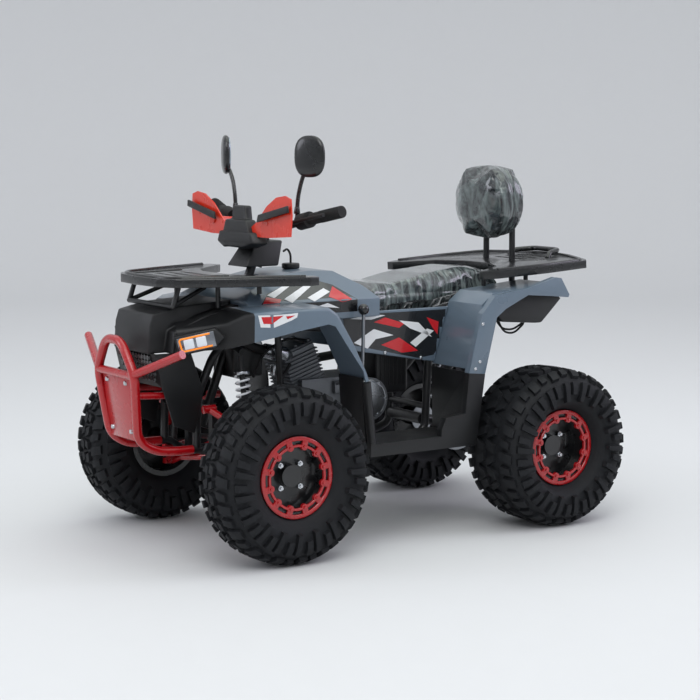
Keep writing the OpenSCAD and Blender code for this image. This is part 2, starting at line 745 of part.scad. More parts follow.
module engine() {
  color("#77797c") {
    // Crankcase, side cover, cylinder and head, leaning back
    translate(fp(-470, -78, 300)) cube([230, 156, 150]);
    translate(fp(-455, 77, 380)) rotate([-90, 0, 0]) cylinder(h = 33, d = 130);
    translate(fp(-330, -55, 440)) rotate([0, 18, 0]) cube([105, 110, 120]);
    // Feet on the frame's two engine mounts
    for (x = engine_mounts) translate(fp(x - 10, -50, rail_z + cross_tube / 2 + 0.2))
      cube([20, 100, 301 - rail_z - cross_tube / 2]);
  }
}

// Header pipe down and back beside the engine, into the silencer
module exhaust() {
  down = fp(-258, -126, 468);
  back = rp(200, -144, 505);
  can_front = rp(112, -165, 520);
  color("#2e2f31") {
    rod(fp(-258, -55.3, 468), down + [0, -12, 0], 30);
    rod(down + [6, 0, 0], back + [-8, 0, 1], 27);
    rod(back + [6, 0, 0], can_front + [-20, -6, 5], 24);
    rod(can_front, rp(-150, -165, 545), 80);
  }
}

// ----------------------------------------------------------------- suspension

// Upper and lower arms of both front wheels
module suspension_arms() {
  eye_off = kingpin_half + arm_eye_h / 2 + 1;
  low_eye = [fx, kingpin_y, fz - eye_off];
  high_eye = [fx, kingpin_y, fz + eye_off];
  low_z = rail_z + 8;
  inner_y = pivot_y + 8;
  color("#b3232a") both() difference() {
    union() {
      for (x = [-70, 84]) {
        rod(low_eye + [sign(x) * 5, -14, 0], fp(x, inner_y, low_z), arm_tube);
        rod(fp(x - 22, inner_y, low_z), fp(x + 22, inner_y, low_z), arm_tube + 4);
      }
      for (x = [-60, 98]) {
        rod(high_eye + [0, -12, 0], fp(x, inner_y, upper_pivot_z), arm_tube);
        rod(fp(x - 18, inner_y, upper_pivot_z), fp(x + 18, inner_y, upper_pivot_z), arm_tube + 4);
      }
      // Strap across the lower arm that the shock stands on
      translate(fp(-35, shock_foot[1] - 9, shock_foot[2] - 26)) cube([74, 18, 24.2]);
      translate(low_eye) cylinder(h = arm_eye_h, d = arm_eye_d, center = true);
      translate(high_eye) cylinder(h = arm_eye_h, d = arm_eye_d, center = true);
    }
    translate([fx, kingpin_y, 0]) cylinder(h = 500, d = kingpin_d + 2 * run_gap);
    for (s = [-1, 1]) translate([fx, kingpin_y, fz + s * (kingpin_half - 20)])
      cylinder(h = 41, d = arm_eye_d + 6, center = true);
  }
}

module front_shocks() {
  top = fp(shock_top[0], shock_top[1], shock_top[2]);
  foot = fp(shock_foot[0], shock_foot[1], shock_foot[2]);
  color("#e9ebee") both() {
    rod(foot, top, 16);
    along(foot, top) translate([0, 0, 126]) cylinder(h = 140, d = spring_d);
  }
}

// Swingarm, with the axle carrier and the hitch plate behind it
module swingarm() {
  pivot = rp(261, rail_y - frame_tube / 2 - 0.2, 300);
  arm_y = 50;
  plate_x = carrier_d / 2 - 10;
  color("#1c1d1f") difference() {
    union() {
      translate([rx, 0, rz]) rotate([90, 0, 0]) cylinder(h = carrier_len, d = carrier_d, center = true);
      both() rod(rp(20, arm_y, rz + 8), [pivot[0], arm_y, pivot[2]], 30);
      rod(flip(pivot), pivot, 34);
      rod(rp(118, -arm_y, rz + 38), rp(118, arm_y, rz + 38), 22);
      translate(rp(-plate_x - 60, -28, rz - hitch_t / 2)) cube([60, 56, hitch_t]);
    }
    translate([rx, 0, rz]) rotate([90, 0, 0])
      cylinder(h = 2 * carrier_len, d = axle_d + 2 * run_gap, center = true);
    translate(rp(-plate_x - 38, 0, rz - 20)) cylinder(h = 40, d = hitch_hole_d);
  }
}

module rear_shock() {
  foot = rp(122, 0, rz + 52);
  top = rp(200, 0, top_rail_z - 26 - cross_tube / 2 - 0.7);
  color("#e9ebee") {
    rod(foot, top, 16);
    along(foot, top) translate([0, 0, 70]) cylinder(h = 180, d = 54);
  }
}

module gear_lever() {
  color("#141516") {
    rod(fp(-352, 225, 470), fp(-356, 225, 650), 10);
    translate(fp(-356, 225, 662)) sphere(d = 32);
    rod(fp(-352, 225, 476), fp(-352, 80, 430), 10);
  }
}

module tail_light() {
  color("#a01318") translate(rp(-150.4, -62, 611)) cube([20, 124, 27]);
}

module placed() {
  translate([-middle_x, 0, 0]) children();
}

placed() main_frame();
placed() frame_brackets();
placed() front_bumper();
placed() front_shroud();
placed() nose_panel();
placed() headlights();
placed() front_fenders();
placed() tank_cover();
placed() fuel_cap();
placed() seat();
placed() side_panels();
placed() rear_fenders();
placed() front_rack();
placed() front_rack_frame();
placed() rear_rack();
placed() rear_rack_frame();
placed() backrest_pad();
placed() footboards();
placed() engine();
placed() exhaust();
placed() suspension_arms();
placed() front_shocks();
placed() swingarm();
placed() rear_shock();
placed() gear_lever();
placed() tail_panel();
placed() tail_light();
placed() steering_stem();
placed() handlebar();
placed() bar_controls();
placed() hand_guards();
placed() instrument_pod();
placed() mirrors();
placed() knuckle();  // knuckle_left
placed() mirror([0, 1, 0]) knuckle();  // knuckle_right
placed() tie_rod();  // tie_rod_left
placed() mirror([0, 1, 0]) tie_rod();  // tie_rod_right
placed() front_tyre(1);  // front_tyre_left
placed() front_tyre(-1);  // front_tyre_right
placed() front_rim(1);  // front_rim_left
placed() front_rim(-1);  // front_rim_right
placed() front_bead_ring(1);  // bead_ring_front_left
placed() front_bead_ring(-1);  // bead_ring_front_right
placed() rear_tyres();
placed() rear_rims();
placed() rear_bead_rings();
placed() rear_axle();
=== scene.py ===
"""Utility quad bike: the visible pieces and finishes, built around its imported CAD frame."""
import json
import math

import bmesh
import bpy
from mathutils import Matrix, Vector
from mathutils.bvhtree import BVHTree


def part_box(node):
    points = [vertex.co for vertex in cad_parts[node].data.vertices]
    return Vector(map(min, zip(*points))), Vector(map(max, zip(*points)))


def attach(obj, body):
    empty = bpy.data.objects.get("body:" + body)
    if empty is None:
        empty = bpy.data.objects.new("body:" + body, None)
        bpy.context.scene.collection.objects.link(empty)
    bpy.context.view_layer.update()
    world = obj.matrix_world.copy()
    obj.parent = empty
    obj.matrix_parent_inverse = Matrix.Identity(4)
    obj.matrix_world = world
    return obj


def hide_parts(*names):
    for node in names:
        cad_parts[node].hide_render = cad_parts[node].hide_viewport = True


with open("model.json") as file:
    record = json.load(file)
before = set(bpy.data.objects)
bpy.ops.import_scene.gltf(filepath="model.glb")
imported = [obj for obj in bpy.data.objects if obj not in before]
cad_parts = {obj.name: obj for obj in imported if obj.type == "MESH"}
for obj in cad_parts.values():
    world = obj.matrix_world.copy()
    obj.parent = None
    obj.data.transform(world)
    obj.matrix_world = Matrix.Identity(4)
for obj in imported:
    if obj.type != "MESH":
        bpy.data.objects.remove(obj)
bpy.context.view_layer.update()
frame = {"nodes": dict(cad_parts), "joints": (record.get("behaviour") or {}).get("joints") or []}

# ---------------------------------------------------------------------------------------------
# Studio: a long-lens camera low at the bike's front left corner, a pale floor that curves up
# into the walls, and large soft lamps.
MM = 0.001
camera_at = Vector((3.0731, 4.6113, 1.1763))
view_azimuth, view_elevation, view_roll = math.radians(146.19), math.radians(6.78), math.radians(-0.06)
camera_data = bpy.data.cameras.new("camera")
camera_data.sensor_width = 36
camera_data.lens = 95.71
camera_data.shift_x = -3.0 / 700
camera_data.shift_y = -0.4 / 700
camera_data.clip_end = 60
camera = bpy.data.objects.new("camera", camera_data)
bpy.context.scene.collection.objects.link(camera)
back = Vector((math.sin(view_azimuth) * math.cos(view_elevation),
               -math.cos(view_azimuth) * math.cos(view_elevation), math.sin(view_elevation)))
side = (-back).cross(Vector((0, 0, 1))).normalized()
up = side.cross(-back)
camera.matrix_world = (Matrix.Translation(camera_at) @ Matrix((side, up, back)).transposed().to_4x4()
                       @ Matrix.Rotation(view_roll, 4, "Z"))
bpy.context.scene.camera = camera
bpy.context.scene.view_settings.view_transform = "Standard"


def linear(code, alpha=1.0):
    """An sRGB hex colour as linear numbers."""
    parts = [int(code[i:i + 2], 16) / 255 for i in (1, 3, 5)]
    return tuple(c / 12.92 if c <= 0.04045 else ((c + 0.055) / 1.055) ** 2.4 for c in parts) + (alpha,)


def add_node(tree, kind, settings=None, links=None):
    """Adds one node, with its settings and the sockets that feed it."""
    made = tree.nodes.new(kind)
    for key, value in (settings or {}).items():
        if isinstance(key, str) and hasattr(made, key):
            setattr(made, key, value)
        else:
            made.inputs[key].default_value = value
    for key, socket in (links or {}).items():
        tree.links.new(socket, made.inputs[key])
    return made


def material(name, colour, roughness, grain=1.5, depth=0.1, uneven=0.08, fade=0.12, **shader):
    """A finish: its colour wanders by fade, its roughness by uneven, and its surface has a grain
    of that many millimetres and a bump of that depth."""
    made = bpy.data.materials.new(name)
    made.use_nodes = True
    tree = made.node_tree
    surface = tree.nodes["Principled BSDF"]
    for key, value in shader.items():
        surface.inputs[key.replace("_", " ")].default_value = value
    place = add_node(tree, "ShaderNodeTexCoord").outputs["Object"]
    cloud = add_node(tree, "ShaderNodeTexNoise", {"Scale": 14.0, "Detail": 4.0}, {"Vector": place})
    dark = tuple(c * (1 - fade) for c in linear(colour)[:3]) + (1,)
    light = tuple(min(1, c * (1 + fade)) for c in linear(colour)[:3]) + (1,)
    shade = add_node(tree, "ShaderNodeMix", {"data_type": "RGBA", 6: dark, 7: light},
                     {0: cloud.outputs["Fac"]})
    tree.links.new(shade.outputs[2], surface.inputs["Base Color"])
    grit = add_node(tree, "ShaderNodeTexNoise", {"Scale": 1000 / grain, "Detail": 2.0}, {"Vector": place})
    rough = add_node(tree, "ShaderNodeMapRange",
                     {"To Min": max(0.02, roughness - uneven), "To Max": min(1, roughness + uneven)},
                     {"Value": cloud.outputs["Fac"]})
    tree.links.new(rough.outputs["Result"], surface.inputs["Roughness"])
    bump = add_node(tree, "ShaderNodeBump", {"Strength": depth, "Distance": 0.001},
                    {"Height": grit.outputs["Fac"]})
    tree.links.new(bump.outputs["Normal"], surface.inputs["Normal"])
    return made


def bare_piece(name, bm, finish, smooth=35):
    """Turns a bmesh into an object, shaded smooth up to the given angle."""
    bmesh.ops.recalc_face_normals(bm, faces=bm.faces)
    mesh = bpy.data.meshes.new(name)
    bm.to_mesh(mesh)
    bm.free()
    for one in finish if isinstance(finish, (list, tuple)) else [finish]:
        mesh.materials.append(one)
    mesh.shade_smooth()
    mesh.set_sharp_from_angle(angle=math.radians(smooth))
    made = bpy.data.objects.new(name, mesh)
    bpy.context.scene.collection.objects.link(made)
    return made


# Painted studio floor, even and matt
studio_paint = material("studio_floor_paint", "#d9dadb", 0.7, grain=4, depth=0.02, fade=0.01)
bm = bmesh.new()
floor_r, wall_r, wall_h, sweep = 7.5, 10.0, 7.0, 2.5
rim = [bm.verts.new((x, 0, z)) for x, z in
       [(0, 0), (floor_r, 0)]
       + [(floor_r + sweep * math.sin(a), sweep * (1 - math.cos(a)))
          for a in (math.radians(d) for d in range(10, 91, 10))]
       + [(wall_r, wall_h)]]
for a, b in zip(rim, rim[1:]):
    bm.edges.new((a, b))
bmesh.ops.spin(bm, geom=bm.verts[:] + bm.edges[:], axis=(0, 0, 1), cent=(0, 0, 0), angle=2 * math.pi,
               steps=64, use_merge=True)
bmesh.ops.remove_doubles(bm, verts=bm.verts, dist=0.0005)
floor = bare_piece("floor", bm, studio_paint, 80)

for name, place, size, power, tint in (
        ("key_lamp", (2.5, 3.6, 4.6), 3.4, 95, "#ffffff"), ("top_lamp", (-0.5, 0.4, 4.8), 4.2, 48, "#f2fff0"),
        ("side_lamp", (4.8, -2.2, 2.6), 2.4, 48, "#f2f4ff"),
            ("rear_lamp", (-4.2, 2.6, 2.8), 2.4, 50, "#efe8ff")):
    lamp = bpy.data.lights.new(name, "AREA")
    lamp.shape, lamp.size, lamp.energy = "DISK", size, power
    lamp.color = linear(tint)[:3]
    stand = bpy.data.objects.new(name, lamp)
    bpy.context.scene.collection.objects.link(stand)
    aim = Vector((0, 0, 0.45)) - Vector(place)
    stand.matrix_world = Matrix.Translation(place) @ aim.to_track_quat("-Z", "Y").to_matrix().to_4x4()
world = bpy.data.worlds.new("studio_air")
world.use_nodes = True
world.node_tree.nodes["Background"].inputs["Color"].default_value = linear("#eef0f4")
world.node_tree.nodes["Background"].inputs["Strength"].default_value = 1.05
bpy.context.scene.world = world

# ---------------------------------------------------------------------------------------------
# Steel frame: bent and welded tube, powder coated black, with the brackets and the rack hoops
# of the same finish. The tubes are drawn round over the frame's plain ones.
joints = {j["name"]: j for j in frame["joints"]}
front_axle = Vector(joints["front_wheel_left"]["pos_m"])
rear_axle = Vector(joints["rear_wheels"]["pos_m"])


def ahead(x, y, z):
    """A place in millimetres from the front axle, the bike's middle and the floor."""
    return Vector((front_axle.x + x * MM, y * MM, z * MM))


def behind(x, y, z):
    """A place in millimetres from the rear axle, the bike's middle and the floor."""
    return Vector((rear_axle.x + x * MM, y * MM, z * MM))


def mirrored(points):
    return [Vector((p.x, -p.y, p.z)) for p in points]


def rounded(points, bend, steps=7):
    """The same line with its corners rounded, bend being the length cut from each side."""
    line = [points[0]]
    for a, b, c in zip(points, points[1:], points[2:]):
        cut = min(bend, (b - a).length * 0.48, (c - b).length * 0.48)
        start, end = b + (a - b).normalized() * cut, b + (c - b).normalized() * cut
        line += [start.lerp(b, t).lerp(b.lerp(end, t), t) for t in (i / steps for i in range(steps + 1))]
    return line + [points[-1]]


def add_pipe(bm, points, radius, bend=30, sides=16, taper=None):
    """Adds a round tube along a line of points to a bmesh, closed at both ends."""
    line = rounded(points, bend * MM) if bend else list(points)
    radius *= MM
    turn = (line[1] - line[0]).to_track_quat("Z", "Y")
    place = Matrix.Translation(line[0]) @ turn.to_matrix().to_4x4()
    ring = bmesh.ops.create_circle(bm, segments=sides, radius=radius, matrix=place)["verts"]
    edges = list({e for v in ring for e in v.link_edges})
    bmesh.ops.contextual_create(bm, geom=edges)
    for i in range(1, len(line)):
        ahead_of = line[min(i + 1, len(line) - 1)] - line[i - 1]
        old = turn @ Vector((0, 0, 1))
        turn = old.rotation_difference(ahead_of.normalized()) @ turn
        new_place = Matrix.Translation(line[i]) @ turn.to_matrix().to_4x4()
        if taper:
            new_place = new_place @ Matrix.Scale(taper[i] if i < len(taper) else taper[-1], 4)
        made = bmesh.ops.extrude_edge_only(bm, edges=edges)["geom"]
        verts = [g for g in made if isinstance(g, bmesh.types.BMVert)]
        edges = [g for g in made if isinstance(g, bmesh.types.BMEdge)
                 and g.verts[0] in verts and g.verts[1] in verts]
        bmesh.ops.transform(bm, matrix=new_place @ place.inverted(), verts=verts)
        place = new_place
    bmesh.ops.contextual_create(bm, geom=edges)


def add_block(bm, low, high, bevel=1.5, segments=2):
    """Adds a box between two corners, with rounded edges."""
    low, high = Vector(low), Vector(high)
    size = high - low
    made = bmesh.ops.create_cube(bm, size=1, matrix=Matrix.Translation((low + high) / 2)
                                 @ Matrix.Diagonal((*size, 1)))["verts"]
    edges = list({e for v in made for e in v.link_edges})
    if bevel:
        bmesh.ops.bevel(bm, geom=edges, offset=bevel * MM, segments=segments, profile=0.5,
                        affect="EDGES", material=-1, clamp_overlap=True)


def add_disc(bm, start, end, radius, end_radius=None, sides=24, bevel=0):
    """Adds a round bar or cone from one point to another."""
    start, end = Vector(start), Vector(end)
    way = end - start
    place = Matrix.Translation((start + end) / 2) @ way.to_track_quat("Z", "Y").to_matrix().to_4x4()
    made = bmesh.ops.create_cone(bm, cap_ends=True, segments=sides, radius1=radius * MM, depth=way.length,
                                 radius2=(radius if end_radius is None else end_radius) * MM,
                                 matrix=place)["verts"]
    if bevel:
        caps = [e for e in {e for v in made for e in v.link_edges}
                if all(len(f.verts) > 3 for f in e.link_faces) and any(len(f.verts) > 4 for f in e.link_faces)]
        bmesh.ops.bevel(bm, geom=caps, offset=bevel * MM, segments=2, profile=0.5, affect="EDGES",
                        material=-1, clamp_overlap=True)
    return made


def piece(name, bm, finish, body, replaces=(), smooth=35):
    """An object that rides on a body and may stand for CAD nodes."""
    made = bare_piece(name, bm, finish, smooth)
    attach(made, body)
    if replaces:
        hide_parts(*replaces)
    return made


# Powder-coated steel: black with a low sheen and a fine orange peel
frame_coat = material("black_powder_coated_steel", "#17181a", 0.38, grain=1.2, depth=0.06, IOR=1.5)
front_post, rail_half, side_half, rail_h, top_h = 135, 95, 105, 250, 625
bm = bmesh.new()
for flip in (1, -1):
    low_rail = [ahead(front_post, rail_half, 285), ahead(110, rail_half, 285), ahead(60, rail_half, rail_h),
                behind(315, rail_half, rail_h), behind(262, rail_half, 270),
                    behind(250, side_half, top_h - 10)]
    top_rail = [ahead(121, rail_half, 285), ahead(119, rail_half, 430), ahead(65, side_half, 560),
                ahead(-70, side_half, top_h), ahead(-315, side_half, 600), behind(240, side_half, 595),
                behind(-104, side_half, 651)]
    for line, radius in ((low_rail, 12.5), (top_rail, 11.8),
                         ([behind(254, 99, 380), behind(-20, side_half, 638)], 10),
                         ([ahead(-165, rail_half, rail_h), ahead(-140, side_half, top_h - 10)], 10),
                         ([ahead(20, 101, 581), ahead(20, 178, 560)], 9.5)):
        add_pipe(bm, [Vector((p.x, p.y * flip, p.z)) for p in line], radius, bend=40)
for place in (ahead(119, 0, 400), ahead(-20, 0, rail_h), ahead(-260, 0, rail_h), ahead(-440, 0, rail_h),
              behind(258, 0, 340), behind(200, 0, 599), behind(-94, 0, 651)):
    reach = Vector((0, 97 * MM, 0))
    add_pipe(bm, [place - reach, place + reach], 9.5)
piece("frame_tubes", bm, frame_coat, "chassis", ["main_frame"])
for node in ("frame_brackets", "front_rack_frame", "rear_rack_frame", "swingarm", "steering_stem",
    "handlebar",
             "knuckle_left", "knuckle_right"):
    frame["nodes"][node].data.materials.clear()
    frame["nodes"][node].data.materials.append(frame_coat)

# ---------------------------------------------------------------------------------------------
# Bumper: 26 mm steel tube, bent and welded, in gloss red paint, with a red skid plate held
# between its uprights by four zinc-plated bolts.
red_enamel = material("gloss_red_enamel_on_steel", "#a80912", 0.28, grain=2.5, depth=0.05, fade=0.06,
                      Coat_Weight=0.6, Coat_Roughness=0.12)
bright_zinc = material("zinc_plated_bolts", "#c9ccd0", 0.22, grain=0.6, depth=0.05, Metallic=1.0)
bm = bmesh.new()
half = [ahead(326, 45, 599), ahead(320, 112, 508), ahead(298, 84, 322), ahead(243, 84, 288),
        ahead(180, rail_half, 285), ahead(front_post, rail_half, 285)]
add_pipe(bm, mirrored(half)[::-1] + half, 13, bend=34, sides=20)
for flip in (1, -1):
    add_pipe(bm, [ahead(320, 104 * flip, 509), ahead(265, 284 * flip, 580)], 12, sides=20)
    add_pipe(bm, [ahead(313, 98 * flip, 450), ahead(133, rail_half * flip, 440)], 10)
    add_pipe(bm, [ahead(150, 60 * flip, 262), ahead(20, 150 * flip, 262), ahead(-20, 200 * flip, 235)], 10)
add_pipe(bm, [ahead(320, -108, 506), ahead(320, 108, 506)], 12, sides=20)
piece("bumper_tubes", bm, red_enamel, "chassis", ["front_bumper"])

bm = bmesh.new()
add_block(bm, (-2.5 * MM, -82 * MM, -92 * MM), (2.5 * MM, 82 * MM, 92 * MM), 2)
bmesh.ops.transform(bm, verts=bm.verts, matrix=Matrix.Translation(ahead(308, 0, 412)) @ Matrix.Rotation(
    math.radians(6.5), 4, "Y"))
piece("skid_plate", bm, red_enamel, "chassis")
bm = bmesh.new()
for flip in (1, -1):
    for height, x in ((482, 317), (346, 301)):
        base = ahead(x + 2, 56 * flip, height)
        add_disc(bm, base, base + Vector((4.5 * MM, 0, 0)), 7.5, 6, sides=12)
piece("skid_plate_bolts", bm, bright_zinc, "chassis")

# ---------------------------------------------------------------------------------------------
# Wheels: knobbly off-road tyres on black pressed-steel rims, with a red cast bead ring bolted
# to the outside by twelve bolts, and four bright wheel nuts round a black centre cap.
tyre_rubber = material("tyre_rubber", "#101216", 0.68, grain=3, depth=0.35, uneven=0.1, fade=0.25,
                       Specular_IOR_Level=0.35)
rim_enamel = material("black_enamelled_rim", "#101113", 0.28, grain=2, depth=0.05, Coat_Weight=0.4)
flange_r = 112.5


def add_tyre(bm, outer, width, ring_out, pitches):
    """Adds one tyre, centred on the axle, with its outer face towards +y."""
    lug, edge = 11.0, 46.0
    crown_r = outer - lug
    half_w = width / 2 - 4
    flat = half_w - edge
    turn = edge * math.pi / 2
    bead = ring_out - 8 - 6.6

    def on_tread(along, height):
        reach = abs(along)
        if reach < flat:
            y, r, out, up_ = reach, crown_r, 0, 1
        elif reach < flat + turn:
            a = (reach - flat) / edge
            y, r, out, up_ = flat + edge * math.sin(a), crown_r - edge + edge * math.cos(a), math.sin(a), math.cos(a)
        else:
            y, r, out, up_ = half_w, crown_r - edge - (reach - flat - turn), 1, 0
        r -= 5 * (min(reach, half_w) / half_w) ** 2
        return math.copysign(y + out * height, along), r + up_ * height

    # Casing: half of its section, mirrored and spun about the axle
    outline = [on_tread(s, 0) for s in [0, flat * 0.5, flat] + [flat + turn * i / 8 for i in range(1, 9)]]
    outline += [(half_w, 171 if outer > 240 else 165), (half_w - 4, 150), (half_w - 14, 132),
                (bead + 14, 120), (bead + 6, 114.5), (bead, 104)]
    outline = [(-y, r) for y, r in outline[:0:-1]] + outline
    ring = [bm.verts.new((0, y * MM, r * MM)) for y, r in outline]
    sweep_edges = [bm.edges.new(pair) for pair in zip(ring, ring[1:])]
    bmesh.ops.spin(bm, geom=ring + sweep_edges, axis=(0, 1, 0), cent=(0, 0, 0), angle=2 * math.pi, steps=72,
                   use_merge=True)
    bmesh.ops.remove_doubles(bm, verts=bm.verts, dist=0.00005)
    # Tread: one pitch of blocks [middle, half length, place, half width, slant], laid out flat
    pitch = 2 * math.pi * outer / pitches
    reach = flat + turn
    blocks = [(flat * 0.34, flat * 0.30, pitch * 0.27, pitch * 0.18, 0.45),
              (flat * 0.34, flat * 0.26, pitch * 0.78, pitch * 0.14, -0.5),
              (flat + turn * 0.18, turn * 0.20, pitch * 0.10, pitch * 0.15, 0.35),
              (flat + turn * 0.24, turn * 0.24, pitch * 0.60, pitch * 0.19, 0.30),
              (reach + 2, turn * 0.42, pitch * 0.30, pitch * 0.15, 0.12),
              (reach - 8, turn * 0.26, pitch * 0.84, pitch * 0.16, 0.12)]
    strip = bmesh.new()
    for hand in (1, -1):
        for middle, half_len, place, half_wide, slant in blocks:
            verts = bmesh.ops.create_cube(strip, size=2)["verts"]
            for v in verts:
                top = v.co.z > 0
                shrink = 0.86 if top else 1.0
                along = middle + v.co.x * half_len * shrink
                v.co = Vector((along * hand, place + (pitch / 2 if hand < 0 else 0)
                               + v.co.y * half_wide * shrink + slant * (along - middle), lug if top else -3))
            long_edges = [e for e in {e for v in verts for e in v.link_edges}
                          if abs(e.verts[0].co.x - e.verts[1].co.x) > half_len * 1.2]
            bmesh.ops.subdivide_edges(strip, edges=long_edges, cuts=3, use_grid_fill=True)
    one_pitch = strip.verts[:] + strip.edges[:] + strip.faces[:]
    for i in range(1, pitches):
        made = bmesh.ops.duplicate(strip, geom=one_pitch)["geom"]
        bmesh.ops.translate(strip, vec=(0, pitch * i, 0),
            verts=[g for g in made if isinstance(g, bmesh.types.BMVert)])
    for v in strip.verts:
        y, r = on_tread(v.co.x, v.co.z)
        lean = v.co.y / outer
        v.co = Vector((r * math.sin(lean), y, r * math.cos(lean))) * MM
    holder = bpy.data.meshes.new("tread_strip")
    strip.to_mesh(holder)
    strip.free()
    bm.from_mesh(holder)
    bpy.data.meshes.remove(holder)


def add_ring(bm, outline, sides=72):
    """Spins a closed outline of [y, radius] about the Y axis through the origin."""
    ring = [bm.verts.new((0, y * MM, r * MM)) for y, r in outline]
    edges = [bm.edges.new((a, b)) for a, b in zip(ring, ring[1:] + ring[:1])]
    bmesh.ops.spin(bm, geom=ring + edges, axis=(0, 1, 0), cent=(0, 0, 0), angle=2 * math.pi, steps=sides,
                   use_merge=True)
    bmesh.ops.remove_doubles(bm, verts=bm.verts, dist=0.00002)


def add_bead_ring(bm, ring_out):
    """Adds a bead ring: two hoops, twelve webs with bolt bosses, and the windows between them."""
    back_y, face = ring_out - 8, ring_out
    add_ring(bm, [(back_y, 101), (face - 1.5, 101), (face, 102.5), (face, 109.5), (face - 2, flange_r),
                  (back_y, flange_r)])
    add_ring(bm,
        [(back_y, 83.5), (face - 1, 83.5), (face, 84.5), (face, 89.5), (face - 1, 90.5), (back_y, 90.5)])
    for i in range(12):
        turn = Matrix.Rotation(2 * math.pi * (i + 0.5) / 12, 4, "Y")
        part = bmesh.new()
        add_block(part, (-9 * MM, back_y * MM, 86 * MM), (9 * MM, (face - 0.4) * MM, 105 * MM), 1.2)
        add_disc(part, (0, back_y * MM, 86 * MM), (0, (face + 0.6) * MM, 86 * MM), 10.5, 9.6, sides=20)
        bmesh.ops.transform(part, matrix=turn, verts=part.verts)
        holder = bpy.data.meshes.new("boss")
        part.to_mesh(holder)
        part.free()
        bm.from_mesh(holder)
        bpy.data.meshes.remove(holder)


wheels = [("front_tyre_left", "front_rim_left", "bead_ring_front_left", "front_wheel_left", front_axle, 1,
    True),
          ("front_tyre_right", "front_rim_right", "bead_ring_front_right", "front_wheel_right",
           Vector((front_axle.x, -front_axle.y, front_axle.z)), -1, True)]
track_half = (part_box("rear_tyres")[1].y - 115.5 * MM)
for side_ in (1, -1):
    wheels.append(("rear_tyres", "rear_rims", "rear_bead_rings", "rear_wheels",
                   Vector((rear_axle.x, side_ * track_half, rear_axle.z)), side_, False))
for tyre_node, _, ring_node, body, centre, hand, is_front in wheels:
    label = tyre_node if is_front else ("rear_tyre_left" if hand > 0 else "rear_tyre_right")
    outer, width, ring_out, pitches = (243, 174, 63, 19) if is_front else (235, 231, 76, 18)
    place = Matrix.Translation(centre) @ Matrix.Rotation(0 if hand > 0 else math.pi, 4, "Z")
    bm = bmesh.new()
    add_tyre(bm, outer, width, ring_out, pitches)
    bmesh.ops.transform(bm, matrix=place, verts=bm.verts)
    piece(label + "_tread", bm, tyre_rubber, body, [tyre_node], 40)
    bm = bmesh.new()
    add_bead_ring(bm, ring_out)
    bmesh.ops.transform(bm, matrix=place, verts=bm.verts)
    piece(label.replace("tyre", "bead_ring"), bm, red_enamel, body, [ring_node])
    bm = bmesh.new()
    for i in range(12):
        spot = Matrix.Rotation(2 * math.pi * (i + 0.5) / 12, 4, "Y") @ Vector((0, 0, 86 * MM))
        out = Vector((0, ring_out * MM, 0))
        add_disc(bm, spot + out, spot + out + Vector((0, 4 * MM, 0)), 5.2, 4.6, sides=6)
    bmesh.ops.transform(bm, matrix=place, verts=bm.verts)
    piece(label.replace("tyre", "ring_bolts"), bm, red_enamel, body)
    bm = bmesh.new()
    for i in range(4):
        spot = Matrix.Rotation(2 * math.pi * (i + 0.5) / 4, 4, "Y") @ Vector((0, 0, 44 * MM))
        add_disc(bm, spot + Vector((0, 8 * MM, 0)), spot + Vector((0, 26 * MM, 0)), 9, 8, sides=6)
        add_disc(bm, spot + Vector((0, 20 * MM, 0)), spot + Vector((0, 33 * MM, 0)), 4.5, sides=12)
    bmesh.ops.transform(bm, matrix=place, verts=bm.verts)
    piece(label.replace("tyre", "wheel_nuts"), bm, bright_zinc, body)
for node in ("front_rim_left", "front_rim_right", "rear_rims"):
    frame["nodes"][node].data.materials.clear()
    frame["nodes"][node].data.materials.append(rim_enamel)

# ---------------------------------------------------------------------------------------------
# Body panels: blue-grey moulded ABS with a gloss skin, its edges rolled over in the mould. Each
# keeps the CAD shape, merged, and gets rounded edges.
panel_plastic = material("blue_grey_gloss_abs", "#5f6e7c", 0.3, grain=6, depth=0.04, fade=0.05,
                         Coat_Weight=0.35, Coat_Roughness=0.1)
black_plastic = material("black_moulded_polypropylene", "#101113", 0.45, grain=0.9, depth=0.18, fade=0.1)


def softened(node, name, finish, radius, body="chassis", segments=3, smooth=38):
    """A copy of a CAD node, with its edges rounded."""
    bm = bmesh.new()
    bm.from_mesh(frame["nodes"][node].data)
    bmesh.ops.remove_doubles(bm, verts=bm.verts, dist=0.00002)
    bmesh.ops.dissolve_limit(bm, angle_limit=math.radians(1), verts=bm.verts, edges=bm.edges)
    sharp = [e for e in bm.edges if len(e.link_faces) == 2 and e.calc_face_angle(0) > math.radians(14)]
    bmesh.ops.bevel(bm, geom=sharp, offset=radius * MM, segments=segments, profile=0.5, affect="EDGES",
                    material=-1, clamp_overlap=True)
    return piece(name, bm, finish, body, [node], smooth)


# Front fender: sections [lower edge, outer edge, inner edge] as [x, y, height], from the lamp's
# corner round the wheel and down its leg, joined edge to edge and given a 4 mm wall
fender_sections = [
    ((215, 150, 568), (211, 148, 628), (196, 118, 648)), ((92, 221, 577), (90, 219, 647), (96, 152, 666)),
    ((62, 270, 591), (60, 268, 672), (58, 152, 680)), ((45, 289, 598), (43, 287, 677), (43, 152, 684)),
    ((10, 325, 611), (8, 322, 683), (10, 199, 688)), ((-40, 344, 624), (-40, 341, 686), (-40, 201, 690)),
    ((-160, 344, 641), (-166, 341, 686), (-160, 201, 690)),
        ((-183, 344, 633), (-194, 341, 668), (-192, 201, 672)),
    ((-217, 344, 584), (-245, 341, 586), (-243, 201, 588)),
        ((-275, 344, 503), (-289, 341, 502), (-287, 201, 502)),
    ((-284, 344, 471), (-300, 341, 474), (-298, 201, 476))]
black_to = 45
bm = bmesh.new()
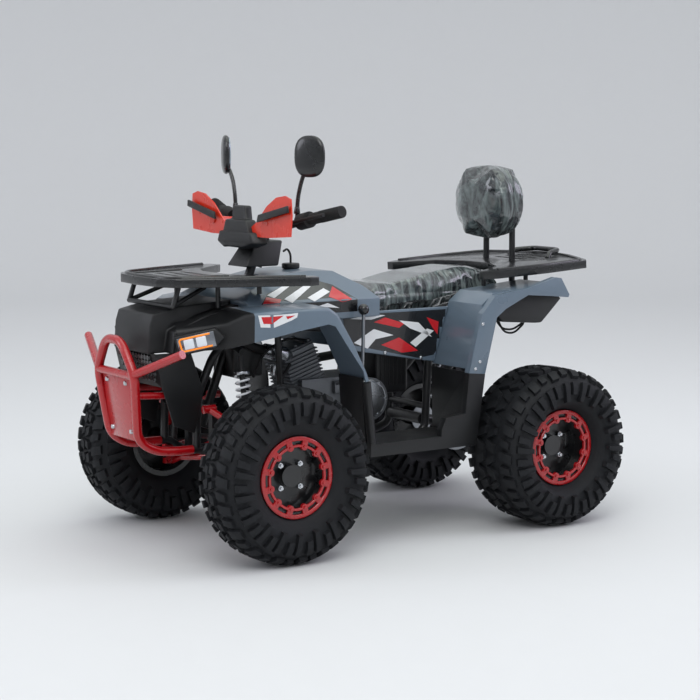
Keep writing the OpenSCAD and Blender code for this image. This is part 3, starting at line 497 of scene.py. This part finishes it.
for hand in (1, -1):
    lines = [[bm.verts.new(ahead(x, y * hand, z)) for x, y, z in row] for row in zip(*fender_sections)]
    chains = [[bm.edges.new(pair) for pair in zip(line, line[1:])] for line in lines]
    for low_chain, high_chain in zip(chains, chains[1:]):
        bmesh.ops.bridge_loops(bm, edges=low_chain + high_chain)
    ridge = [e for e in chains[1] if len(e.link_faces) == 2]
    bmesh.ops.bevel(bm, geom=ridge, offset=9 * MM, segments=4, profile=0.5, affect="EDGES", material=-1)
for face in bm.faces:
    face.material_index = int(face.calc_center_median().x > ahead(black_to, 0, 0).x - 0.001)
    face.normal_update()
    if face.normal.z + face.normal.y * face.calc_center_median().y * 6 < 0:
        face.normal_flip()
bmesh.ops.solidify(bm, geom=bm.faces[:], thickness=4 * MM)
fenders = piece("front_fender_panels", bm, [panel_plastic, black_plastic], "chassis",
    ["front_fenders"])
softened("rear_fenders", "rear_fender_panels", panel_plastic, 7)
tank = softened("tank_cover", "tank_panel", panel_plastic, 14)
side_shells = softened("side_panels", "side_panel_shells", panel_plastic, 3)
softened("nose_panel", "nose_shell", black_plastic, 9)
softened("front_shroud", "front_shroud_plates", black_plastic, 1.5)
softened("tail_panel", "tail_tray", black_plastic, 4)
softened("footboards", "footwells", black_plastic, 3)

# ---------------------------------------------------------------------------------------------
# Graphics: printed vinyl film laid on the tank, the side panels, the nose and the fronts of the
# fenders. Plain slashes of white, red and black, cut flat and pressed onto the panel below.
film_white = material("white_vinyl_film", "#dfe1e3", 0.25, grain=8, depth=0.02, fade=0.03, Coat_Weight=0.5)
film_red = material("red_vinyl_film", "#c1141d", 0.25, grain=8, depth=0.02, fade=0.05, Coat_Weight=0.5)
film_black = material("black_vinyl_film", "#121316", 0.25, grain=8, depth=0.02, fade=0.05, Coat_Weight=0.5)


def graphic(name, outlines, finish, panel, lift=0.5, cell=11):
    """Film cut to outlines of [x from the front axle, height], pressed on both sides of a panel."""
    under = bmesh.new()
    under.from_mesh(panel.data)
    surface = BVHTree.FromBMesh(under)
    under.free()
    bm = bmesh.new()
    for outline in outlines:
        edge = [bm.verts.new(ahead(x, 0, z)) for x, z in outline]
        bm.faces.new(edge)
    for axis in (0, 2):
        spots = [v.co[axis] for v in bm.verts]
        at, normal = min(spots) + cell * MM, Vector((axis == 0, 0, axis == 2))
        while at < max(spots):
            bmesh.ops.bisect_plane(bm, geom=bm.verts[:] + bm.edges[:] + bm.faces[:], dist=0.00001,
                                   plane_co=normal * at, plane_no=normal)
            at += cell * MM
    flat = bm.verts[:] + bm.edges[:] + bm.faces[:]
    far = [g for g in bmesh.ops.duplicate(bm, geom=flat)["geom"] if isinstance(g, bmesh.types.BMVert)]
    lost = []
    for v in bm.verts:
        hand = -1 if v in set(far) else 1
        spot, normal, *_ = surface.ray_cast(Vector((v.co.x, 0.6 * hand, v.co.z)), Vector((0, -hand, 0)))
        if spot is None or normal.y * hand < 0.25:
            lost.append(v)
        else:
            v.co = spot + normal * lift * MM
    bmesh.ops.delete(bm, geom=lost, context="VERTS")
    for face in bm.faces:
        face.normal_update()
        if face.normal.y * face.calc_center_median().y < 0:
            face.normal_flip()
    bmesh.ops.solidify(bm, geom=bm.faces[:], thickness=0.3 * MM)
    return piece(name, bm, finish, "chassis")


tank_ground = [(-4, 672), (-70, 716), (-170, 742), (-255, 744), (-300, 730), (-352, 690), (-352, 655),
    (-60, 655),
               (-4, 664)]
graphic("tank_film_black", [tank_ground], film_black, tank, 0.4)
graphic("tank_film_red", [[(-10, 672), (-60, 708), (-104, 700), (-52, 664)],
                          [(-120, 664), (-78, 682), (-138, 672), (-196, 660)],
                          [(-262, 700), (-296, 726), (-334, 690), (-300, 684)]], film_red, tank,
                              0.9)
graphic("tank_film_white", [[(-66, 712), (-150, 738), (-168, 736), (-84, 704)],
                            [(-112, 700), (-206, 732), (-224, 728), (-132, 690)],
                            [(-190, 700), (-262, 722), (-276, 712), (-206, 690)],
                            [(-214, 676), (-290, 668), (-250, 684)]], film_white, tank, 1.3)
side_ground = [(-322, 642), (-330, 560), (-590, 500), (-664, 508), (-684, 570), (-690, 640)]
graphic("side_film_black", [side_ground], film_black, side_shells, 0.4)
graphic("side_film_white", [[(-360, 560), (-430, 596), (-500, 574), (-436, 566), (-408, 540)],
                            [(-520, 616), (-590, 606), (-640, 560), (-560, 590)],
                            [(-346, 630), (-420, 624), (-470, 634), (-420, 640)],
                            [(-560, 548), (-622, 586), (-646, 578), (-580, 534)]], film_white, side_shells,
        1.3)
graphic("side_film_red", [[(-456, 548), (-520, 566), (-590, 522), (-530, 520)],
                          [(-430, 616), (-520, 594), (-540, 606), (-470, 628)],
                          [(-620, 620), (-664, 604), (-660, 566), (-640, 590)]], film_red, side_shells,
        0.9)
graphic("fender_film_white", [[(36, 672), (-62, 678), (-58, 666), (4, 640), (32, 640)]], film_white, fenders,
        0.5)
graphic("fender_film_red",
    [[(30, 668), (-20, 672), (10, 650), (26, 650)], [(-26, 670), (-52, 672), (-30, 662)]],
        film_red, fenders, 1.0)

# ---------------------------------------------------------------------------------------------
# Headlamps: a silvered housing in each corner of the nose, with an orange light guide round two
# square lenses behind a clear cover, and a honeycomb grille of black plastic between them.
lamp_silver = material("smoked_silver_reflector", "#8a8e94", 0.22, grain=3, depth=0.05, Metallic=0.9)
lens_glass = material("clear_lamp_lens", "#e4ebf2", 0.06, grain=6, depth=0.05, fade=0.04, Coat_Weight=1.0)
amber = material("amber_light_guide", "#f08a1e", 0.2, grain=5, depth=0.03, fade=0.04, Coat_Weight=0.6,
                 Emission_Color=linear("#ff8a1c"), Emission_Strength=0.35)
softened("headlights", "lamp_housings", black_plastic, 3)
lamp_turn = Matrix.Rotation(math.radians(150), 4, "Z") @ Matrix.Rotation(math.radians(-12), 4, "Y")
lamp_place = Matrix.Translation(ahead(207, 155.8, 562)) @ lamp_turn


def both_lamps(name, finish, make):
    """Makes one lamp's piece in its own frame, set in the left lamp and mirrored to the right."""
    bm = bmesh.new()
    make(bm)
    bmesh.ops.transform(bm, matrix=lamp_place, verts=bm.verts)
    left = bm.verts[:] + bm.edges[:] + bm.faces[:]
    right = bmesh.ops.duplicate(bm, geom=left)["geom"]
    for v in right:
        if isinstance(v, bmesh.types.BMVert):
            v.co.y = -v.co.y
    return piece(name, bm, finish, "chassis")


def reflector(bm):
    add_block(bm, (5 * MM, -36.5 * MM, 6 * MM), (108 * MM, -33 * MM, 48 * MM), 4)


def lenses(bm):
    for x in (22, 56):
        add_block(bm, (x * MM, -41 * MM, 13 * MM), ((x + 28) * MM, -35 * MM, 41 * MM), 4)


def light_guide(bm):
    line = [Vector((x * MM, -37.5 * MM, z * MM)) for x, z in
            ((98, 10), (14, 10), (11, 44), (96, 44))]
    add_pipe(bm, line, 2.6, bend=8, sides=10)


both_lamps("lamp_reflectors", lamp_silver, reflector)
both_lamps("lamp_lenses", lens_glass, lenses)
both_lamps("lamp_light_guides", amber, light_guide)
bm = bmesh.new()
for row in range(5):
    for column in range(-5, 6):
        cell_at = ahead(264 - row * 4.6, (column + 0.5 * (row % 2)) * 17, 552 - row * 15)
        add_disc(bm, cell_at - Vector((3 * MM, 0, 0)), cell_at + Vector((2.5 * MM, 0, 0)), 9.2, 7.2, sides=6)
piece("grille_cells", bm, film_black, "chassis")

# ---------------------------------------------------------------------------------------------
# Seat and backrest: foam under black coated vinyl, still in the clear wrap of a new bike. The
# pad is swollen by pressure; the wrap's creases are painted highlights, pale over the dark cover.
# The cover's base colour carries painted highlights along the wrap's creases
vinyl_with_painted_crease_highlights = material("vinyl_under_clear_wrap_painted_highlights", "#24272a", 0.2, grain=26, depth=0.8, uneven=0.14, fade=0.5,
                         Coat_Weight=0.9, Coat_Roughness=0.07)
tree = vinyl_with_painted_crease_highlights.node_tree
surface = tree.nodes["Principled BSDF"]
place = add_node(tree, "ShaderNodeTexCoord").outputs["Object"]
# Creases some 12 mm apart, drawn out down the sides where the wrap is pulled tight
stretch = add_node(tree, "ShaderNodeMapping", {"Scale": (5.0, 1.3, 1.0)}, {"Vector": place})
crease = add_node(tree, "ShaderNodeTexNoise",
    {"Scale": 15.0, "Detail": 4.0, "Distortion": 0.7, "Roughness": 0.55},
                  {"Vector": stretch.outputs["Vector"]})
# Painted highlight: the ramp turns the crease noise into pale grey streaks in the base colour over the dark vinyl
edge = add_node(tree, "ShaderNodeValToRGB", None, {"Fac": crease.outputs["Fac"]})
edge.color_ramp.elements[0].position, edge.color_ramp.elements[0].color = 0.42, linear("#23282b")
edge.color_ramp.elements[1].position, edge.color_ramp.elements[1].color = 0.86, linear("#8c9a98")
tree.links.new(edge.outputs["Color"], surface.inputs["Base Color"])
ridge = add_node(tree, "ShaderNodeBump", {"Strength": 0.55, "Distance": 0.004},
    {"Height": crease.outputs["Fac"]})
tree.links.new(ridge.outputs["Normal"], surface.inputs["Normal"])


def cushion(node, name, shrink, reach, seam):
    """A CAD pad remeshed, pulled in, swollen as cloth, and creased along the seam seam(point)
    measures the distance to, in metres."""
    bm = bmesh.new()
    bm.from_mesh(frame["nodes"][node].data)
    bmesh.ops.remove_doubles(bm, verts=bm.verts, dist=0.00002)
    pad = piece(name, bm, vinyl_with_painted_crease_highlights, "chassis", [node], 180)
    weave = pad.modifiers.new("even_mesh", "REMESH")
    weave.mode, weave.voxel_size = "VOXEL", 6 * MM
    scene = bpy.context.scene

    def bake():
        bpy.context.view_layer.update()
        settled = bpy.data.meshes.new_from_object(pad.evaluated_get(bpy.context.evaluated_depsgraph_get()))
        pad.modifiers.clear()
        pad.data = settled

    bake()
    for v, normal in zip(pad.data.vertices, [v.normal.copy() for v in pad.data.vertices]):
        v.co -= normal * shrink * MM
    start = [v.co.copy() for v in pad.data.vertices]
    swell = pad.modifiers.new("swell", "CLOTH")
    swell.settings.use_pressure = True
    swell.settings.uniform_pressure_force = 4
    swell.settings.effector_weights.gravity = 0
    swell.point_cache.frame_start, swell.point_cache.frame_end = 1, 20
    for step in range(1, 21):
        scene.frame_set(step)
    bake()
    scene.frame_set(1)
    for v, home in zip(pad.data.vertices, start):
        move = v.co - home
        if move.length > reach * MM:
            v.co = home + move.normalized() * reach * MM
    for v, normal in zip(pad.data.vertices, [v.normal.copy() for v in pad.data.vertices]):
        near = abs(seam(v.co))
        v.co -= normal * 3.2 * MM * math.exp(-(near / (5 * MM)) ** 2)
    pad.data.materials.clear()
    pad.data.materials.append(vinyl_with_painted_crease_highlights)
    smooth = pad.modifiers.new("smooth", "SUBSURF")
    smooth.levels = smooth.render_levels = 1
    pad.data.shade_smooth()
    return pad


pad_low, pad_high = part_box("backrest_pad")
cushion("seat", "seat_cushion", 5, 22, lambda p: p.z - 0.688)
cushion("backrest_pad", "backrest_cushion", 5, 22, lambda p: p.x - (pad_low.x + pad_high.x) / 2)

# ---------------------------------------------------------------------------------------------
# Steering head: moulded dash pod, tank cap with its vent, and the two orange hand guards, each
# with a black band and a plain back. They turn with the bar.
guard_plastic = material("orange_red_gloss_abs", "#d8321a", 0.28, grain=5, depth=0.04, fade=0.05,
    Coat_Weight=0.4)
grip_rubber = material("grip_rubber", "#0f0f10", 0.7, grain=1.2, depth=0.3)
softened("instrument_pod", "dash_pod", black_plastic, 6, "steering")
softened("fuel_cap", "tank_cap", black_plastic, 4)
bm = bmesh.new()
add_pipe(bm, [ahead(-251, 0, 786), ahead(-251, 0, 812), ahead(-240, 0, 829), ahead(-222, 8, 822)], 3.2,
    bend=14)
piece("cap_vent_hose", bm, grip_rubber, "chassis")
# Each guard is one moulding with a raised middle facet and a black band across it
guard_line = [(29, 880), (92, 913), (149, 960), (200, 986), (246, 992), (276, 984), (281, 938), (274, 880),
              (161, 872), (74, 872)]
band_line = [(118, 914), (126, 936), (280, 966), (282, 947)]
guard_bm, band_bm = bmesh.new(), bmesh.new()
for hand in (1, -1):
    face = guard_bm.faces.new([guard_bm.verts.new(ahead(-80, y * hand, z)) for y, z in guard_line])
    face.normal_update()
    if face.normal.x < 0:
        face.normal_flip()
    bmesh.ops.inset_region(guard_bm, faces=[face], thickness=17 * MM, depth=9 * MM)
    add_pipe(guard_bm, [ahead(-79, 150 * hand, 912), ahead(-150, 160 * hand, 908)], 6, sides=12)
    low_band = [band_bm.verts.new(ahead(-72, y * hand, z)) for y, z in band_line]
    made = bmesh.ops.extrude_face_region(band_bm, geom=[band_bm.faces.new(low_band)])["geom"]
    bmesh.ops.translate(band_bm, vec=(8 * MM, 0, 0),
        verts=[g for g in made if isinstance(g, bmesh.types.BMVert)])
shells = [f for f in guard_bm.faces if f.calc_area() > 0.0001]
bmesh.ops.solidify(guard_bm, geom=shells, thickness=4 * MM)
piece("hand_guard_shells", guard_bm, guard_plastic, "steering", ["hand_guards"], 20)
bmesh.ops.recalc_face_normals(band_bm, faces=band_bm.faces)
bmesh.ops.bevel(band_bm, geom=band_bm.edges[:], offset=2 * MM, segments=2, profile=0.5, affect="EDGES",
    material=-1)
piece("hand_guard_bands", band_bm, black_plastic, "steering")

# Dash beak and stem cover: moulded black plastic over the bar's risers
bm = bmesh.new()
beak = [(-102, 884), (102, 884), (122, 852), (62, 837), (0, 843), (-62, 837), (-122, 852)]
made = bmesh.ops.extrude_face_region(bm,
    geom=[bm.faces.new([bm.verts.new(ahead(-104, y, z)) for y, z in beak])])
for v in [g for g in made["geom"] if isinstance(g, bmesh.types.BMVert)]:
    v.co = ahead(-62 + 16 * (1 - abs(v.co.y) / (122 * MM)), v.co.y / MM * 0.82, v.co.z / MM)
made = bmesh.ops.create_cube(bm, size=2)["verts"]
for v in made:
    if v.co.z > 0:
        v.co = ahead(-157 + v.co.x * 46, v.co.y * 36, 856)
    else:
        v.co = ahead(-122 + v.co.x * 56, v.co.y * 54, 784)
bmesh.ops.bevel(bm, geom=bm.edges[:], offset=6 * MM, segments=3, profile=0.5, affect="EDGES", material=-1,
                clamp_overlap=True)
piece("dash_beak", bm, black_plastic, "steering")
rack_plastic = material("black_gloss_nylon", "#0d0f11", 0.28, grain=1.4, depth=0.1, Coat_Weight=0.35)
mirror_glass = material("mirror_glass", "#aeb8c2", 0.03, grain=9, depth=0.01, fade=0.02, Metallic=1.0)
head, foot = Vector((-172, 232, 1099)), Vector((-166, 171, 912))
shell_bm, glass_bm = bmesh.new(), bmesh.new()
for hand in (1, -1):
    tilt = Matrix.Rotation(math.radians(25 * hand), 4, "Z")
    centre = Matrix.Translation(ahead(head.x, head.y * hand, head.z)) @ tilt
    for bm, x, depth, wide, tall in ((shell_bm, 2, 13, 49, 58), (glass_bm, -7, 5, 44, 53)):
        ball = bmesh.ops.create_uvsphere(bm, u_segments=40, v_segments=24, radius=MM)["verts"]
        for v in ball:
            # Fuller than an ellipse, as a moulded mirror head is
            unit = v.co / MM
            swell = max(abs(unit.y) ** 2.6 + abs(unit.z) ** 2.6 + abs(unit.x) ** 2.6, 0.001) ** (-1 / 2.6)
            v.co = Vector((x + unit.x * depth * swell, unit.y * wide * swell, unit.z * tall * swell)) * MM
        bmesh.ops.transform(bm, matrix=centre, verts=ball)
    stem = [ahead(-167, 171 * hand, 922), ahead(-167, 173 * hand, 978), ahead(-169, 190 * hand, 1028),
            ahead(-168, 214 * hand, 1062)]
    add_pipe(shell_bm, stem, 6, bend=26, sides=14)
    add_disc(shell_bm, ahead(-166.5, 171 * hand, 938), ahead(-167, 171.5 * hand, 958), 9.5, 7, sides=18,
        bevel=1)
piece("mirror_heads", shell_bm, rack_plastic, "steering", ["mirrors"], 60)
piece("mirror_glasses", glass_bm, mirror_glass, "steering", smooth=60)

# Grip ribs: rubber rings along each grip, 5 mm apart
bar_in, bar_tip = Vector((-172, 235, 925)), Vector((-198, 350, 949))
bm = bmesh.new()
for hand in (1, -1):
    for i in range(15):
        spots = [bar_in.lerp(bar_tip, t) for t in (0.34 + 0.045 * i, 0.36 + 0.045 * i)]
        add_disc(bm, ahead(spots[0].x, spots[0].y * hand, spots[0].z),
            ahead(spots[1].x, spots[1].y * hand, spots[1].z),
                 17.4, sides=20)
piece("grip_ribs", bm, grip_rubber, "steering")

# ---------------------------------------------------------------------------------------------
# Racks: moulded black nylon decks with a raised rim, on welded hoops; the rear one ends in a
# raised grab handle.
softened("front_rack", "front_rack_deck", rack_plastic, 7)
softened("rear_rack", "rear_rack_deck", rack_plastic, 7)
bm = bmesh.new()
half = [(0, 240), (100, 232), (153, 205), (212, 88), (292, -118)]
rim_line = [ahead(x, -y, 770) for y, x in half[:0:-1]] + [ahead(x, y, 770) for y, x in half]
add_pipe(bm, rim_line, 6, bend=26, sides=12)
for y in (-110, -100, 100, 110):
    add_pipe(bm, [ahead(214, y, 770), ahead(40, y * 1.3, 770)], 3.4, sides=10)
piece("front_rack_rim", bm, rack_plastic, "chassis")
deck_lean = math.tan(math.radians(2.9))
half = [(0, -300), (112, -280), (228, -232), (252, -212), (266, -60), (255, 112)]
bm = bmesh.new()
rim_line = ([behind(x, -y, 762 - x * deck_lean) for y, x in half[:0:-1]]
            + [behind(x, y, 762 - x * deck_lean) for y, x in half])
add_pipe(bm, rim_line, 6, bend=26, sides=12)
add_pipe(bm, [behind(-212, -96, 770), behind(-226, -90, 787), behind(-286, -62, 792), behind(-286, 62, 792),
              behind(-226, 90, 787), behind(-212, 96, 770)], 8, bend=22, sides=14)
piece("rear_rack_rim", bm, rack_plastic, "chassis")

# ---------------------------------------------------------------------------------------------
# Shocks: white powder-coated coil springs of 6.5 mm wire over a black damper, between two
# turned aluminium caps.
turned_alloy = material("turned_aluminium", "#b4b8bd", 0.26, grain=0.8, depth=0.1, Metallic=1.0)
white_enamel = material("white_powder_coated_spring", "#e3e6ea", 0.32, grain=2, depth=0.04, fade=0.04)
spring_bm, damper_bm, cap_bm = bmesh.new(), bmesh.new(), bmesh.new()
shock_lines = [(ahead(24, 226 * h, 238), ahead(20, 168 * h, 549), 126, 140, 19.0, 7) for h in (1, -1)]
shock_lines.append((behind(122, 0, 287), behind(200, 0, 588.8), 70, 180, 23.5, 8))
for foot, top, start, length, coil_r, turns in shock_lines:
    way = (top - foot).normalized()
    place = Matrix.Translation(foot) @ way.to_track_quat("Z", "Y").to_matrix().to_4x4()
    steps = turns * 14
    coil = [place @ Vector((coil_r * MM * math.cos(a), coil_r * MM * math.sin(a),
                            (start + 6 + (length - 12) * i / steps) * MM))
            for i in range(steps + 1) for a in (2 * math.pi * i / 14,)]
    add_pipe(spring_bm, coil, 3.2, bend=0, sides=8)
    add_disc(damper_bm, foot, foot.lerp(top, 0.55), 10, sides=20)
    add_disc(damper_bm, foot.lerp(top, 0.5), top, 7.5, sides=16)
    for at in (start - 5, start + length - 3):
        add_disc(cap_bm, foot + way * at * MM, foot + way * (at + 8) * MM, coil_r + 3, sides=24, bevel=1)
piece("shock_springs", spring_bm, white_enamel, "chassis", ["front_shocks", "rear_shock"])
piece("shock_dampers", damper_bm, black_plastic, "chassis")
piece("spring_caps", cap_bm, turned_alloy, "chassis")

# ---------------------------------------------------------------------------------------------
# Engine: cast aluminium crankcase, cylinder with cooling fins, a carburettor with its bell, and
# black rubber hoses, with a polished side cover.
cast_alloy = material("cast_aluminium", "#74777b", 0.5, grain=1.6, depth=0.3, Metallic=0.85)
lean = Matrix.Translation(ahead(-330, 0, 440)) @ Matrix.Rotation(math.radians(18), 4, "Y")
bm = bmesh.new()
for i in range(9):
    add_block(bm, (-6 * MM, -61 * MM, (14 + i * 11) * MM), (111 * MM, 61 * MM, (18 + i * 11) * MM), 1, 1)
bmesh.ops.transform(bm, matrix=lean, verts=bm.verts)
piece("cylinder_fins", bm, cast_alloy, "chassis")
bm = bmesh.new()
add_disc(bm, ahead(-190, 62, 525), ahead(-120, 62, 545), 24, 20, sides=28, bevel=2)
add_disc(bm, ahead(-160, 62, 500), ahead(-160, 62, 470), 16, sides=20, bevel=2)
add_disc(bm, ahead(-455, 110, 380), ahead(-455, 116, 380), 60, 52, sides=40, bevel=2)
for i in range(6):
    a = math.pi * i / 3
    spot = ahead(-455 + 54 * math.cos(a), 112, 380 + 54 * math.sin(a))
    add_disc(bm, spot, spot + Vector((0, 7 * MM, 0)), 4.5, sides=6)
piece("carburettor_and_cover", bm, turned_alloy, "chassis")
bm = bmesh.new()
for line, radius in (([ahead(-120, 62, 545), ahead(-70, 66, 560), ahead(-40, 40, 590)], 13),
                     ([ahead(-200, 76, 500), ahead(-150, 96, 450), ahead(-120, 90, 380),
                         ahead(-170, 84, 320)], 5),
                     ([ahead(-250, 70, 560), ahead(-180, 92, 580), ahead(-100, 90, 540), ahead(-80, 70, 470)],
                         4),
                     ([behind(195, 148, 600), behind(200, 152, 560), behind(236, 150, 570),
                         behind(240, 146, 610)], 4)):
    add_pipe(bm, line, radius, bend=34, sides=12)
piece("engine_hoses", bm, grip_rubber, "chassis")

# Engine top: cam cover with its bolts, inlet elbow, coil box and spark lead, cast or moulded
bm = bmesh.new()
add_block(bm, (-3 * MM, -50 * MM, 112 * MM), (108 * MM, 50 * MM, 128 * MM), 5, 3)
for x, y in ((6, -42), (6, 42), (98, -42), (98, 42), (52, -42), (52, 42)):
    add_disc(bm, (x * MM, y * MM, 127 * MM), (x * MM, y * MM, 133 * MM), 5.5, sides=6)
bmesh.ops.transform(bm, matrix=lean, verts=bm.verts)
add_pipe(bm, [ahead(-215, 40, 520), ahead(-190, 62, 525)], 17, sides=20)
add_block(bm, ahead(-395, 79, 402), ahead(-345, 92, 440), 4)
piece("cam_cover", bm, cast_alloy, "chassis")
bm = bmesh.new()
add_block(bm, ahead(-120, -60, 470), ahead(-20, 60, 560), 9, 3)
add_block(bm, behind(305, -70, 385), behind(425, 70, 588), 12, 3)
add_block(bm, ahead(-250, 30, 588), ahead(-200, 60, 606), 3)
for i in range(7):
    add_block(bm, behind(316 + i * 15, -72, 410), behind(320 + i * 15, 72, 560), 1, 1)
piece("air_box", bm, black_plastic, "chassis")

# ---------------------------------------------------------------------------------------------
# Tail: black moulded liners under the rear fenders (their dark is part black plastic, part painted
# shade), and two black cable loops that hang from them on each side's inner edge.
# The liners' black is partly the plastic's own colour and partly painted shade under the fenders
bm = bmesh.new()
under_tail = [(172, 640), (140, 608), (15, 598), (-8, 598), (-54, 640), (-84, 668), (-46, 690), (67, 688),
    (150, 652)]
for hand in (1, -1):
    flat = bm.faces.new([bm.verts.new(behind(x, 212 * hand, z)) for x, z in under_tail])
    made = bmesh.ops.extrude_face_region(bm, geom=[flat])["geom"]
    bmesh.ops.translate(bm, vec=(0, 106 * hand * MM, 0),
        verts=[g for g in made if isinstance(g, bmesh.types.BMVert)])
bmesh.ops.recalc_face_normals(bm, faces=bm.faces)
bmesh.ops.bevel(bm, geom=bm.edges[:], offset=5 * MM, segments=2, profile=0.5, affect="EDGES", material=-1,
                clamp_overlap=True)
piece("tail_liners_and_painted_shade", bm, black_plastic, "chassis")
bm = bmesh.new()
for y, drop in ((204, 0), (196, 10)):
    add_pipe(bm, [behind(74, y, 616), behind(66, y, 594), behind(46, y, 562 + drop), behind(7, y, 556 + drop),
                  behind(-34, y, 586), behind(-24, y, 612)], 3.2, bend=22, sides=10)
piece("tail_cable_loops", bm, grip_rubber, "chassis")

# ---------------------------------------------------------------------------------------------
# Fasteners: bright zinc-plated dome bolts along the side panels and the rear fender's edge.
bm = bmesh.new()
for hand in (1, -1):
    for x, z in ((-345, 552), (-470, 524), (-600, 500)):
        add_disc(bm, ahead(x, 167.6 * hand, z), ahead(x, 172 * hand, z), 6.5, 4.5, sides=18, bevel=0.8)
    for x, z in ((236, 610), (246, 500), (262, 480)):
        add_disc(bm, behind(x, 344.6 * hand, z), behind(x, 348 * hand, z), 6, 4, sides=18, bevel=0.8)
piece("panel_bolts", bm, bright_zinc, "chassis")

# ---------------------------------------------------------------------------------------------
# Running gear: steel axle and tie rods, red arms, a black-painted exhaust, the gear lever with
# its black ball, and the red tail light.
steel = material("machined_steel", "#8f9296", 0.3, grain=0.8, depth=0.1, Metallic=1.0)
exhaust_paint = material("heat_resistant_black_paint", "#161617", 0.6, grain=1, depth=0.15)
tail_red = material("red_lens", "#8e0d12", 0.12, grain=5, depth=0.05, Coat_Weight=0.8)
for node, finish in (("engine", cast_alloy), ("exhaust", exhaust_paint),
                     ("tie_rod_left", steel), ("tie_rod_right", steel), ("rear_axle", steel),
                     ("tail_light", tail_red), ("bar_controls", grip_rubber),
                         ("suspension_arms", red_enamel)):
    frame["nodes"][node].data.materials.clear()
    frame["nodes"][node].data.materials.append(finish)

lever_bm, ball_bm = bmesh.new(), bmesh.new()
add_pipe(lever_bm, [ahead(-352, 80, 430), ahead(-352, 225, 474), ahead(-356, 225, 648)], 5, bend=14, sides=14)
bmesh.ops.create_uvsphere(ball_bm, u_segments=28, v_segments=16, radius=16 * MM,
                          matrix=Matrix.Translation(ahead(-356, 225, 662)))
piece("gear_lever_stem", lever_bm, steel, "chassis", ["gear_lever"])
piece("gear_lever_ball", ball_bm, rack_plastic, "chassis", smooth=60)
